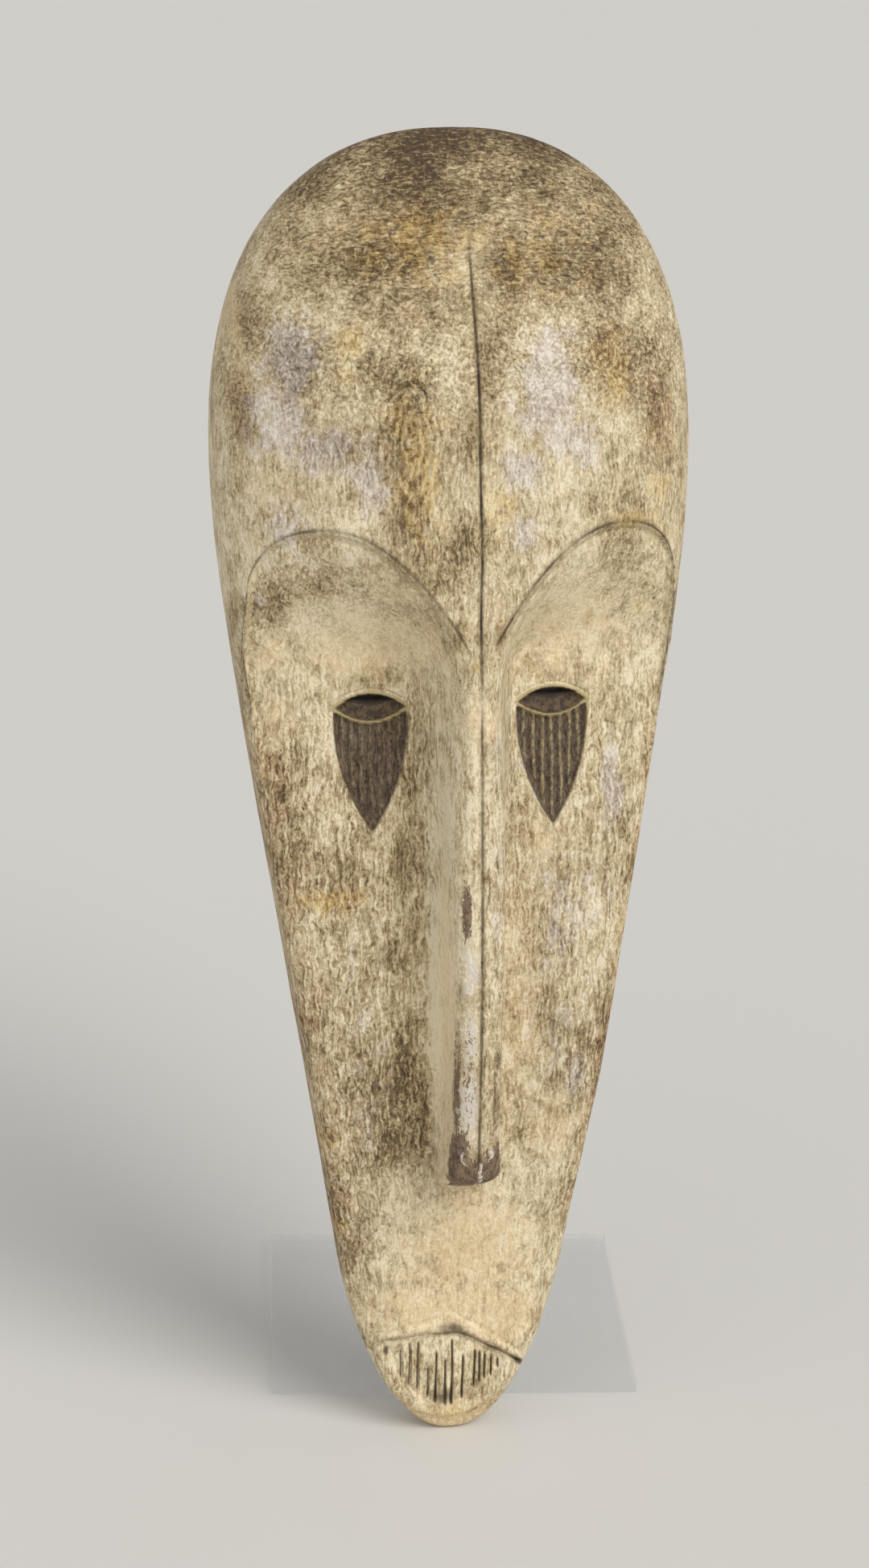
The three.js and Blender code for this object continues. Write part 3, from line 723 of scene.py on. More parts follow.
# %% [markdown]
# ## Writing node trees as sums
# Both the carving and the finishes are node trees. Wiring each Math node by hand hides what
# is being worked out, so one small class wraps a socket, and an expression on it adds the
# nodes. A second class makes any other node from its type, settings and inputs.

# %% Sockets that can be added and multiplied


class Wire:
    def __init__(self, tree, socket):
        self.tree, self.socket = tree, socket

    def maths(self, operation, *others):
        return self.tree.maths(operation, self, *others)

    def __add__(self, other):
        return self.maths("ADD", other)

    def __sub__(self, other):
        return self.maths("SUBTRACT", other)

    def __mul__(self, other):
        return self.maths("MULTIPLY", other)

    def __truediv__(self, other):
        return self.maths("DIVIDE", other)

    def __rsub__(self, other):
        return self.tree.maths("SUBTRACT", other, self)

    def __rtruediv__(self, other):
        return self.tree.maths("DIVIDE", other, self)

    __radd__ = __add__
    __rmul__ = __mul__

    def power(self, other):
        return self.maths("POWER", other)

    def least(self, other):
        return self.maths("MINIMUM", other)

    def size(self):
        return self.maths("ABSOLUTE")

    def rise(self, start, end):
        settings = {"interpolation_type": "SMOOTHSTEP"}
        inputs = {"Value": self, "From Min": start, "From Max": end}
        return self.tree.node("ShaderNodeMapRange", settings, inputs)


print("sockets can take part in sums")

# %% One method that makes any node


class Tree:
    def __init__(self, nodes_of):
        self.nodes, self.links = nodes_of.nodes, nodes_of.links

    def node(self, kind, settings=None, inputs=None, output=0):
        made = self.nodes.new(kind)
        for name, value in (settings or {}).items():
            setattr(made, name, value)
        for name, value in (inputs or {}).items():
            if isinstance(value, Wire):
                self.links.new(value.socket, made.inputs[name])
            else:
                made.inputs[name].default_value = value
        return Wire(self, made.outputs[output])

    def maths(self, operation, *values):
        return self.node("ShaderNodeMath", {"operation": operation}, dict(enumerate(values)))

    def vector(self, operation, *values):
        inputs = dict(enumerate(values))
        if operation == "SCALE":
            inputs = {0: values[0], "Scale": values[1]}
        return self.node("ShaderNodeVectorMath", {"operation": operation}, inputs)

    def noise(self, spot, scale, detail, roughness=0.5, output=0):
        inputs = {"Vector": spot, "Scale": scale, "Detail": detail, "Roughness": roughness}
        return self.node("ShaderNodeTexNoise", None, inputs, output)

    def blend(self, factor, first, second):
        settings = {"data_type": "RGBA", "clamp_factor": True}
        return self.node("ShaderNodeMix", settings, {0: factor, 6: first, 7: second}, 2)


print("node helpers ready")

# %% [markdown]
# ## Cutting the surface by rule
# The tree reads the cut depth kept on the sheet and moves each point along the surface's own
# direction. Flat facets outside and scoops in the hollow come from cell patterns with a fixed
# seed, and a little wear is taken off everywhere, so the mask stays within its solid.

# %% Start and end of a Geometry Nodes tree


def new_group(name, numbers):
    group = bpy.data.node_groups.new(name, "GeometryNodeTree")
    face = group.interface
    face.new_socket("Geometry", in_out="OUTPUT", socket_type="NodeSocketGeometry")
    face.new_socket("Geometry", in_out="INPUT", socket_type="NodeSocketGeometry")
    for number in numbers:
        face.new_socket(number, in_out="INPUT", socket_type="NodeSocketFloat")
    face.new_socket("Material", in_out="INPUT", socket_type="NodeSocketMaterial")
    tree = Tree(group)
    given = group.nodes.new("NodeGroupInput")
    return tree, {s.name: Wire(tree, s) for s in given.outputs if s.name}


def close_group(tree, geometry, material):
    whole = tree.node("GeometryNodeRealizeInstances", None, {"Geometry": geometry})
    inputs = {"Geometry": whole, "Material": material}
    finished = tree.node("GeometryNodeSetMaterial", None, inputs)
    end = tree.nodes.new("NodeGroupOutput")
    tree.links.new(finished.socket, end.inputs[0])
    return tree.nodes.id_data


print("each tree takes numbers and a material, and ends in real geometry")

# %% Geometry Nodes tree for the carving
SCOOP_CELLS, FACET_CELLS, WEAR_SCALE = (0.5, 3.0), (0.45, 11.0), 110.0


def kept_on_sheet(tree, name):
    settings = {"data_type": "FLOAT"}
    return tree.node("GeometryNodeInputNamedAttribute", settings, {"Name": name}, "Attribute")


def cells(tree, width, length_share, seed):
    spot = tree.node("GeometryNodeInputPosition")
    along = tree.node("ShaderNodeCombineXYZ", None, {"X": 1.0, "Y": 1.0, "Z": length_share})
    spread = tree.vector("SCALE", tree.vector("MULTIPLY", spot, along), 1.0 / width)
    moved = tree.vector("ADD", spread, (seed, seed * 0.7, seed * 1.3))
    settings = {"voronoi_dimensions": "3D", "feature": "SMOOTH_F1"}
    inputs = {"Vector": moved, "Scale": 1.0, "Smoothness": 0.35}
    return tree.node("ShaderNodeTexVoronoi", settings, inputs, "Distance")


def carving_tree():
    numbers = ("Cut Depth", "Scoop Depth", "Scoop Width", "Facet Depth", "Facet Width", "Wear Depth")
    tree, value = new_group("hand_carving", numbers)
    cut, inside, near_end = (kept_on_sheet(tree, n) for n in ("cut", "inside", "near_end"))
    scoop = 1 - cells(tree, value["Scoop Width"], *SCOOP_CELLS).power(2.0) * 1.6
    facet = cells(tree, value["Facet Width"], *FACET_CELLS)
    wear = tree.noise(tree.node("GeometryNodeInputPosition"), WEAR_SCALE, 3.0)
    depth = (
        cut * value["Cut Depth"]
        + inside * scoop * value["Scoop Depth"]
        + (1 - inside) * facet * value["Facet Depth"]
        + wear * value["Wear Depth"]
    )
    normal = tree.node("GeometryNodeInputNormal")
    offset = tree.vector("SCALE", normal, depth * near_end * -1.0)
    inputs = {"Geometry": value["Geometry"], "Offset": offset}
    moved = tree.node("GeometryNodeSetPosition", None, inputs)
    return close_group(tree, moved, value["Material"])


hand_carving = carving_tree()
print("hand carving made by", len(hand_carving.nodes), "nodes")

# %% Carve the mask


def settle(piece):
    evaluated = piece.evaluated_get(bpy.context.evaluated_depsgraph_get())
    piece.data = bpy.data.meshes.new_from_object(evaluated)
    piece.modifiers.clear()


def made_by(tree, mesh, name, numbers, material):
    made = placed(name, mesh)
    modifier = made.modifiers.new(name, "NODES")
    modifier.node_group = tree
    chosen = {**numbers, "Material": material}
    for item in tree.interface.items_tree:
        if item.in_out == "INPUT" and item.name in chosen:
            modifier[item.identifier] = chosen[item.name]
    settle(made)
    return made


wood = bpy.data.materials.new("painted_wood")
CARVED = {
    "Cut Depth": MM,
    "Scoop Depth": 0.0009,
    "Scoop Width": 0.016,
    "Facet Depth": 0.00035,
    "Facet Width": 0.013,
    "Wear Depth": 0.00025,
}
mask = made_by(hand_carving, blank, "carved_mask", CARVED, wood)
print("carved mask", len(mask.data.polygons), "faces")

# %% [markdown]
# ## The eye slits
# The slits go right through the wood, sloping up on their way in, so that they look dark from
# in front. They could be left as dark paint, but they are real openings at the back too, so
# two lens-shaped cutters take the wood away.

# %% Pierce the slits
SLIT_HALF, SLIT_H, SLIT_RISE = 10.0, 351.2, 2.3
SLIT_FRONT, SLIT_SLOPE = 58.0, math.radians(20.0)
SLIT_SIDES, SLIT_REACH = 28, (-3.0, 90.0)


def slit_cutter():
    bm = bmesh.new()
    turn = np.linspace(0, 2 * np.pi, SLIT_SIDES, endpoint=False)
    for side in (-1, 1):
        across = side * EYE_X + SLIT_HALF * np.cos(turn)
        rise = SLIT_RISE * np.sign(np.sin(turn)) * np.sin(turn) ** 2
        loops = []
        for f in SLIT_REACH:
            level = SLIT_H + (SLIT_FRONT - f) * math.tan(SLIT_SLOPE)
            spots = np.stack([across, np.full_like(turn, f), level + rise], axis=-1)
            loops.append([bm.verts.new(p) for p in leaned(spots).tolist()])
        for loop in loops:
            bm.faces.new(loop)
        for i in range(SLIT_SIDES):
            j = (i + 1) % SLIT_SIDES
            bm.faces.new((loops[0][i], loops[0][j], loops[1][j], loops[1][i]))
    bmesh.ops.recalc_face_normals(bm, faces=bm.faces)
    return mesh_from(bm, "slit_cutter")


def pierce(piece):
    cutter = placed("slit_cutter", slit_cutter())
    cut = piece.modifiers.new("slits", "BOOLEAN")
    cut.operation, cut.solver, cut.object = "DIFFERENCE", "EXACT", cutter
    settle(piece)
    bpy.data.objects.remove(cutter)


def clean_up(piece):
    bm = bmesh.new()
    bm.from_mesh(piece.data)
    bmesh.ops.dissolve_degenerate(bm, edges=bm.edges, dist=WELD / 2)
    bmesh.ops.triangulate(bm, faces=bm.faces)
    for face in bm.faces:
        face.smooth = True
    bm.to_mesh(piece.data)
    print(piece.name, len(bm.faces), "triangles, open edges", open_edges(bm))
    bm.free()


pierce(mask)
clean_up(mask)

# %% [markdown]
# ## The clear stand
# The stand is cut from clear acrylic sheet: a square foot plate and an upright strip behind
# the mask. Two plain boxes would do from far away, but real sheet has polished bevels that
# catch the light, so one Geometry Nodes tree makes a bevelled sheet of any size, and both
# pieces use it.

# %% Geometry Nodes tree for a bevelled sheet
SHEET_WELD, CORNER_STEPS = 0.00001, 5


def stretched(tree, geometry, selection, factors):
    spot = tree.node("GeometryNodeInputPosition")
    inputs = {
        "Geometry": geometry,
        "Selection": selection,
        "Position": tree.vector("MULTIPLY", spot, factors),
    }
    return tree.node("GeometryNodeSetPosition", None, inputs)


def raised(tree, geometry, selection, height):
    offset = tree.node("ShaderNodeCombineXYZ", None, {"Z": height})
    inputs = {"Mesh": geometry, "Selection": selection, "Offset": offset}
    made = tree.node("GeometryNodeExtrudeMesh", {"mode": "FACES"}, inputs)
    return made, Wire(tree, made.socket.node.outputs["Top"])


def sheet_tree():
    tree, value = new_group("bevelled_sheet", ("Width", "Depth", "Thickness", "Corner", "Bevel"))
    inset_w = value["Width"] - value["Bevel"] * 2
    inset_d = value["Depth"] - value["Bevel"] * 2
    sides = {"Width": inset_w, "Height": inset_d}
    outline = tree.node("GeometryNodeCurvePrimitiveQuadrilateral", None, sides)
    fillet = {"Curve": outline, "Radius": value["Corner"], "Count": CORNER_STEPS}
    rounded = tree.node("GeometryNodeFilletCurve", {"mode": "POLY"}, fillet)
    bottom = tree.node("GeometryNodeFillCurve", {"mode": "NGONS"}, {"Curve": rounded})
    wider = {"X": value["Width"] / inset_w, "Y": value["Depth"] / inset_d, "Z": 1.0}
    narrower = {"X": inset_w / value["Width"], "Y": inset_d / value["Depth"], "Z": 1.0}
    out = tree.node("ShaderNodeCombineXYZ", None, wider)
    back = tree.node("ShaderNodeCombineXYZ", None, narrower)
    low, top = raised(tree, bottom, True, value["Bevel"])
    low = stretched(tree, low, top, out)
    middle, top = raised(tree, low, top, value["Thickness"] - value["Bevel"] * 2)
    high, top = raised(tree, middle, top, value["Bevel"])
    high = stretched(tree, high, top, back)
    under = tree.node("GeometryNodeFlipFaces", None, {"Mesh": bottom})
    joined = tree.node("GeometryNodeJoinGeometry")
    for part in (high, under):
        tree.links.new(part.socket, joined.socket.node.inputs[0])
    inputs = {"Geometry": joined, "Distance": SHEET_WELD}
    closed = tree.node("GeometryNodeMergeByDistance", None, inputs)
    return close_group(tree, closed, value["Material"])


bevelled = sheet_tree()
print("bevelled sheet made by", len(bevelled.nodes), "nodes")

# %% Make the foot plate and the upright
PLATE_SIDE, PLATE_THICK, PLATE_X = 0.175, 0.005, 0.0225
POST_WIDTH, POST_THICK, POST_TOP = 0.030, 0.008, 0.567
POST_PLACE, POST_FOOT = (0.008, -0.062), 0.0053
STAND_TURN = math.radians(-9.0)
SHEET_BEVEL, PLATE_CORNER, POST_CORNER = 0.0006, 0.0012, 0.0008

acrylic = bpy.data.materials.new("clear_acrylic")


def sheet_piece(name, size, corner, spot):
    numbers = dict(zip(("Width", "Depth", "Thickness"), size), Corner=corner, Bevel=SHEET_BEVEL)
    piece = made_by(bevelled, bpy.data.meshes.new(name), name, numbers, acrylic)
    piece.data.transform(Matrix.Translation(spot) @ Matrix.Rotation(STAND_TURN, 4, "Z"))
    corners = np.array([v.co for v in piece.data.vertices])
    low, high = corners.min(axis=0).round(4), corners.max(axis=0).round(4)
    print(name, "from", low, "to", high, len(piece.data.polygons), "faces")
    return piece


plate_size = (PLATE_SIDE, PLATE_SIDE, PLATE_THICK)
post_size = (POST_WIDTH, POST_THICK, POST_TOP - POST_FOOT)
foot_plate = sheet_piece("clear_foot_plate", plate_size, PLATE_CORNER, (PLATE_X, 0, 0))
upright = sheet_piece("clear_upright", post_size, POST_CORNER, (*POST_PLACE, POST_FOOT))

# %% [markdown]
# ## Where each finish lies
# The whole front was rubbed with white clay, which has worn, yellowed and stained. The
# finish needs to know where it is: where knife cuts hold dark dirt, where the shields were
# painted dark, and where grey, ochre or brown patches lie. Each patch is a soft oval, placed
# one by one. All these places are worked out once on the finished mesh and kept as attributes
# that the material reads.

# %% Stained and worn places, painted light and painted shade, as (x, h, half width, half height, strength)
STAINS = {
    "grey": (
        (-77, 506, 12, 17, 1.0), (-84, 478, 16, 16, 0.9), (-66, 466, 20, 11, 0.8),
        (-48, 452, 9, 14, 0.8), (31, 488, 15, 24, 1.0), (43, 468, 11, 14, 0.8),
        (20, 456, 11, 10, 0.9), (36, 512, 11, 8, 0.6), (20, 430, 6, 12, 0.7),
        (-90, 396, 8, 8, 0.5), (-84, 430, 14, 14, 0.45), (40, 318, 20, 24, 0.4),
        (70, 312, 7, 24, 0.8), (68, 262, 7, 14, 0.6), (48, 250, 18, 34, 0.5),
        (40, 200, 18, 40, 0.35), (54, 176, 6, 14, 0.6), (-45, 200, 12, 60, 0.3),
        (7, 333, 4, 15, 0.5), (8, 285, 3, 12, 0.6), (6, 250, 3, 16, 0.7),
    ),
    "ochre": (
        (-22, 552, 34, 18, 0.6), (-14, 554, 14, 9, 0.7), (30, 548, 30, 22, 0.45),
        (-28, 460, 14, 44, 0.6), (6, 440, 6, 34, 0.45), (60, 500, 16, 16, 0.5),
        (88, 440, 12, 30, 0.4), (-54, 512, 7, 8, 0.7), (-57, 494, 5, 10, 0.6),
        (-28, 472, 9, 22, 0.6), (-20, 452, 8, 16, 0.5), (63, 490, 9, 10, 0.7),
        (28, 552, 9, 9, 0.5), (12, 442, 6, 10, 0.6), (72, 431, 12, 4, 0.7),
        (-3, 371, 6, 4, 0.7), (-60, 262, 16, 5, 0.9), (-62, 150, 8, 6, 0.7),
        (-56, 104, 5, 5, 0.7), (82, 395, 6, 16, 0.4), (76, 205, 4, 60, 0.5),
        (0, 8, 30, 8, 0.5),
    ),
    # Brown stain, and painted shade too: the spots in the band left of the nose, beside the nose
    # bridge under the left brow and on top of the dome darken where shade falls.
    "brown_stain_and_shade": (
        (-74, 500, 19, 24, 0.42), (-68, 468, 18, 12, 0.3), (-40, 361, 12, 4, 0.75),
        (41, 361, 10, 3, 0.5), (-20, 400, 16, 24, 0.35), (-50, 258, 14, 34, 0.45),
        (0, 470, 60, 30, 0.3), (-5, 597, 95, 18, 1.2), (-5, 574, 80, 20, 0.95),
        (-48, 548, 34, 22, 0.7), (-20, 524, 40, 16, 0.5), (15, 546, 13, 20, 0.65),
        (4, 500, 8, 22, 0.7), (-32, 496, 18, 12, 0.7), (-32, 440, 12, 50, 0.55),
        (-4, 470, 7, 44, 0.6), (-6, 424, 12, 16, 0.9), (-18, 408, 9, 8, 0.9),
        (-98, 484, 6, 18, 0.9), (-94, 520, 8, 16, 0.5), (54, 548, 28, 30, 0.75),
        (60, 506, 20, 20, 0.65), (84, 478, 10, 26, 0.6), (0, 440, 90, 60, 0.2),
        (36, 440, 20, 14, 0.3), (40, 220, 40, 90, 0.2), (-30, 245, 11, 50, 0.5),
        (-35, 168, 12, 36, 0.6), (-10, 384, 5, 9, 0.9), (9, 384, 3, 8, 0.8),
        (-84, 402, 9, 13, 0.5), (-68, 405, 10, 6, 0.4), (-23, 312, 4, 36, 0.7),
        (-27, 282, 7, 22, 0.6), (-32, 232, 5, 40, 0.6), (-27, 178, 9, 36, 0.8),
        (-19, 162, 4, 22, 0.9), (-62, 152, 8, 14, 0.5), (-58, 118, 9, 20, 0.7),
        (-50, 92, 8, 14, 0.7), (66, 195, 4, 30, 0.6), (57, 385, 3, 4, 0.8),
    ),
    # Painted light: these spots lift the tone on the shaded scoops under the brows and on the shaded
    # left wall of the nose, and lighten the clay in a few more places.
    "pale": (
        (-44, 388, 34, 18, 1.3), (46, 394, 32, 20, 1.1), (31, 478, 18, 26, 1.2),
        (-14, 220, 3.5, 80, 2.0), (34, 330, 24, 24, 0.5), (4, 300, 8, 40, 0.4),
        (-84, 430, 14, 14, 0.5),
    ),
    "clean": (
        (-44, 378, 34, 18, 0.9), (-84, 374, 10, 12, 0.8), (-78, 345, 12, 12, 0.6),
        (-34, 404, 14, 10, 0.6), (46, 385, 34, 26, 0.8), (38, 285, 14, 16, 0.5),
        (28, 200, 12, 50, 0.5), (42, 150, 14, 20, 0.6), (4, 92, 34, 34, 1.0),
        (-8, 62, 42, 14, 1.0), (22, 56, 22, 16, 1.0), (0, 4, 40, 14, 0.9),
        (-99, 528, 4, 26, 0.9), (-12, 200, 2, 70, 1.0), (0, 345, 12, 14, 0.7),
        (-84, 450, 16, 9, 0.5),
    ),
    "mottled": (
        (-10, 588, 90, 20, 1.0), (-40, 545, 50, 22, 0.8), (56, 545, 42, 32, 0.9),
        (-30, 490, 26, 18, 0.7), (84, 480, 18, 40, 0.7), (-80, 310, 14, 45, 1.0),
        (-66, 250, 18, 60, 0.9), (-54, 170, 18, 60, 0.9), (-48, 105, 12, 30, 0.8),
        (74, 200, 6, 90, 0.8), (-26, 172, 12, 30, 0.8), (-84, 402, 10, 12, 0.8),
        (-10, 420, 14, 20, 0.7),
    ),
    "rust": (
        (-60, 262, 18, 6, 0.9), (-98, 484, 8, 24, 0.7), (-56, 104, 10, 18, 0.55),
        (86, 470, 10, 30, 0.5),
    ),
    "chipped": (
        (-5, 236, 3.2, 14, 0.75), (-5, 206, 3.0, 12, 0.7), (-5, 174, 3.4, 15, 0.95),
        (1, 138, 1.0, 7, 0.75), (-7, 147, 1.0, 3, 0.7), (5, 150, 1.4, 3, 0.7),
    ),
    "bared": (
        (0, 130, 20, 17, 1.7), (-9, 144, 5, 18, 1.3), (9, 144, 4, 13, 1.1),
        (-10, 178, 1.8, 32, 0.72), (-5, 190, 4, 30, 0.4), (-7, 262, 2.2, 13, 1.1),
        (8, 194, 1.6, 7, 0.7), (6.5, 176, 0.9, 15, 0.8), (8.5, 168, 1.2, 10, 0.5),
    ),
}
print("spots of each kind", {name: len(spots) for name, spots in STAINS.items()})

# %% How stains, worn edges and grain rings spread
EDGE_WEAR = {"rust": 0.5, "mottled": 0.8, "brown_stain_and_shade": 0.2}


def stained(x, h, spots):
    return np.max([s * bell(x - a, rx) * bell(h - b, rh) for a, b, rx, rh, s in spots], axis=0)


def near_edge(x, h):
    reach = np.where(x < 0, 24, 11)
    low = ease_over(h, 385, 320) * ease_over(h, 60, 130)
    return ease(1.2 - (half_width(h) - np.abs(x)) / reach) * low


def on_nose(x, h):
    across = round_off(x / nose_half(h), NOSE_POWER)
    least = mix(0.12, 0.6, ease_over(x, -7, -10.5))
    return ease((across - 0.68) / 0.2) * ease((nose_share(x, h) - least) / 0.2)


def grain_rings(x, h):
    return np.hypot((x + 29) / 15, (h - 468) / 46)


print("edge wear at both cheeks", near_edge(np.array([-85.0, 85.0]), 250.0).round(2))

# %% Keep the places as attributes of the mesh


def keep(mesh, name, values, kind="FLOAT"):
    layer = mesh.attributes.new(name, kind, "POINT")
    field = "vector" if kind == "FLOAT_VECTOR" else "value"
    layer.data.foreach_set(field, values.astype(np.float32).ravel())


def mask_places(mesh):
    points = np.empty(len(mesh.vertices) * 3, np.float32)
    mesh.vertices.foreach_get("co", points)
    return upright_again(points.reshape(-1, 3).astype(float))


def bare_wood(x, f, h):
    out = x / np.maximum(HOLLOW_SCALE * half_width(h), 1)
    room = hollow_depth(h) * round_off(out, HOLLOW_POWER)
    return ease((room + 9 - f) / 5)


# Painted shade: the slit walls are painted near-black, as the opening lies in shade.
def slit_shade(x, f, h):
    middle = SLIT_H + (SLIT_FRONT - f) * math.tan(SLIT_SLOPE)
    open_half = SLIT_RISE * (1 - ((np.abs(x) - EYE_X) / SLIT_HALF) ** 2)
    return ease(1.6 + np.maximum(open_half, -3) - np.abs(h - middle)) * (f > 20)


# Dirt in the knife cuts, and painted shade on the slit walls and under the apex of the upper lip.
def dirt_and_shade_in_cuts(x, f, h):
    # Darker at the low middle of the teeth bowl.
    bottom = 0.6 * bell(x + 5, 8) * bell(h - 17, 5) * ease(inside_teeth(x, h) / 2)
    # Painted shade in the hollow under the apex of the upper lip.
    shade_at_lip_peak = 0.62 * bell(x - LIP_PEAK_X - 1, 8) * bell(above_mouth(x, h) - 2.5, 4)
    mouth = 0.9 * tooth_cuts(x, h) + 0.9 * mouth_notches(x, h) + shade_at_lip_peak + bottom
    lids = 0.5 * lid_outline(x, h)
    shields = 0.6 * bell(inside_shield(x, h) - 0.4, 0.9) * (h < SHIELD_TOP)
    return clamp(0.9 * philtrum(x, h) + mouth + lids + shields + slit_shade(x, f, h))


def worn_ridges(x, h):
    strength = np.where(x > 0, 0.5, 0.25)
    crest = strength * ease((shield_crest(x, h) - 0.45) / 0.4) * ease((below_lids(x, h) - 1) / 1.5)
    band = 0.5 * brow_band(x, h)
    return np.maximum.reduce([crest, 1.3 * lid_rim(x, h) * (np.abs(h - EYE_H) < 9), band])


def line_places(x, h):
    top, end = ease_over(h, CENTRE_LINE_TOP, CENTRE_LINE_TOP - 25), ease_over(h, 140, 150)
    centre = (0.35 + 0.6 * top) * (h < CENTRE_LINE_TOP) * end * (1 - 0.7 * bell(h - 357, 11))
    centre = centre * (1 - 0.35 * bell(h - 325, 18)) * (1 - 0.25 * (h < 320))
    centre = centre * (0.8 + 0.2 * np.sin(h / 17 + 1) * np.sin(h / 5.3))
    brow = along_brow(x, h, BROW_LINES_FROM) * np.where(x > 0, 0.8, 0.6)
    brow = brow * (0.7 + 0.3 * np.sin(h / 9 + x / 5))
    lip = mouth_ends(x, h) * (0.4 + 0.4 * ease_over(x, -12, -2)) * (0.85 + 0.15 * np.sin(x / 2.3))
    return {
        "centre": (off_centre_line(x, h), centre),
        "brow": (inside_face(x, h), brow),
        "lip": (off_lip_cut(x, h), lip),
    }


def mark_finish(mesh):
    spots = mask_places(mesh)
    x, f, h = spots.T
    inside = bare_wood(x, f, h)
    outside = 1 - inside
    rings = grain_rings(x, h)
    kept = {
        "inside": inside,
        # Dirt in the knife cuts, and painted shade on the slit walls and under the apex of the lip.
        "dirt_and_shade": np.maximum(dirt_and_shade_in_cuts(x, f, h) * outside, slit_shade(x, f, h)),
        "dark": ease(inside_shield(x, h) / 0.9) * outside,
        "almond": ease(inside_almond(x, h) / 0.9) * outside,
        "ridge": worn_ridges(x, h) * outside,
        "rings": rings,
        "rings_shown": ease((1.15 - rings) / 0.6) * outside,
    }
    for name, (off, shown) in line_places(x, h).items():
        kept[name] = off
        kept[name + "_shown"] = clamp(shown) * outside * (f > 0)
    for name, places in STAINS.items():
        worn = EDGE_WEAR.get(name, 0) * near_edge(x, h)
        limit = on_nose(x, h) if name in ("bared", "chipped") else 1
        kept[name] = np.maximum(stained(x, h, places), worn) * outside * limit
    for name, values in kept.items():
        keep(mesh, name, values)
    keep(mesh, "place", spots * MM, "FLOAT_VECTOR")
    print("share of the mesh that is bare wood", round(float(inside.mean()), 2))


mark_finish(mask.data)

# %% [markdown]
# ## Colours
# Paint colours are easier to judge as screen values from 0 to 255, so one helper turns them
# into the linear light values that a shader needs.

# %% Palette


def paint(red, green, blue):
    share = np.array([red, green, blue]) / 255
    linear = np.where(share > 0.04045, ((share + 0.055) / 1.055) ** 2.4, share / 12.92)
    return (*linear.tolist(), 1.0)


TONES = {
    "clay": ((74, 59, 41), (121, 102, 72), (169, 149, 113), (206, 190, 154), (234, 221, 191)),
    "clean": ((110, 88, 60), (167, 141, 102), (206, 182, 141), (226, 205, 165), (242, 226, 192)),
    "ochre": ((80, 61, 33), (136, 109, 60), (178, 150, 95), (206, 181, 124), (227, 209, 160)),
    "grey": ((84, 72, 63), (128, 115, 104), (168, 155, 143), (202, 191, 178), (230, 222, 211)),
    "rust": ((84, 59, 42), (134, 103, 73), (178, 150, 112), (208, 188, 150), (232, 218, 186)),
}
TONES = {name: [paint(*tone) for tone in tones] for name, tones in TONES.items()}
CLAY, GREY = TONES["clay"], TONES["grey"]
SOOT, CHIP_WHITE, RIM_OLIVE = paint(44, 33, 24), paint(214, 208, 196), paint(176, 160, 112)
SHIELD_DARK, SHIELD_BROWN, LID_BROWN = paint(56, 43, 34), paint(104, 86, 66), paint(98, 80, 56)
BARE_DARK, BARE_BROWN = paint(78, 61, 48), paint(136, 114, 90)
RAW_WOOD, RAW_WOOD_LIGHT, RAW_WOOD_DARK = paint(112, 80, 52), paint(150, 116, 80), paint(66, 44, 28)
print("palest clay in linear values", [round(v, 2) for v in CLAY[-1]])

# %% [markdown]
# ## White clay on wood
# Up close the clay is never one colour. Long ago it was scraped thin, so tones from dark
# grain to pale clay lie side by side in short strokes that go across the dome, run down the
# cheeks, and curl in between. A photograph could be wrapped on, but it would smear on the
# sides, so one tone is built from noise in the mask's own sizes. The plain clay and four
# kinds of stain each have a set of five colours, and all of them share that tone.

# %% Patterns in the mask's own sizes


def fresh_tree(material):
    material.use_nodes = True
    material.node_tree.nodes.clear()
    return Tree(material.node_tree)


def surface(tree, inputs):
    shader = tree.node("ShaderNodeBsdfPrincipled", None, inputs)
    end = tree.nodes.new("ShaderNodeOutputMaterial")
    tree.links.new(shader.socket, end.inputs["Surface"])


def read(tree, name, output="Fac"):
    return tree.node("ShaderNodeAttribute", {"attribute_name": name}, None, output)


def bent_place(tree, cell=7.0, bend=2.2):
    place = read(tree, "place", "Vector")
    spread = tree.vector("SCALE", place, 1 / (cell * MM))
    drift = tree.noise(spread, 1.0, 2.0, output="Color")
    drift = tree.vector("SUBTRACT", drift, (0.5, 0.5, 0.5))
    return tree.vector("ADD", place, tree.vector("SCALE", drift, bend * 2 * MM))


def grain(tree, place, size, detail=3.0, shift=0.0):
    spread = tree.vector("MULTIPLY", place, tuple(1 / (s * MM) for s in size))
    return tree.noise(tree.vector("ADD", spread, (shift,) * 3), 1.0, detail, 0.62)


def height_up(tree):
    return tree.node("ShaderNodeSeparateXYZ", None, {0: read(tree, "place", "Vector")}, "Z")


def patterns(tree):
    place = bent_place(tree)
    sizes = {
        "wide": ((30, 30, 38), 3.0, 2.0),
        "middle": ((8, 8, 11), 4.0, 7.0),
        "fine": ((2.4, 2.4, 3.2), 4.0, 4.0),
        "curled": ((1.6, 1.6, 1.6), 3.0, 5.0),
        "run_down": ((1.1, 1.1, 7.0), 3.0, 0.0),
        "run_across": ((4.6, 1.3, 1.0), 3.0, 9.0),
        "specks": ((0.9, 0.9, 1.3), 2.0, 13.0),
        "streaks": ((1.6, 1.6, 22), 4.0, 8.0),
    }
    return {name: grain(tree, place, *settings) for name, settings in sizes.items()}


print("pattern helpers ready")

# %% One tone for strokes, stains, scraped places, painted light and painted shade


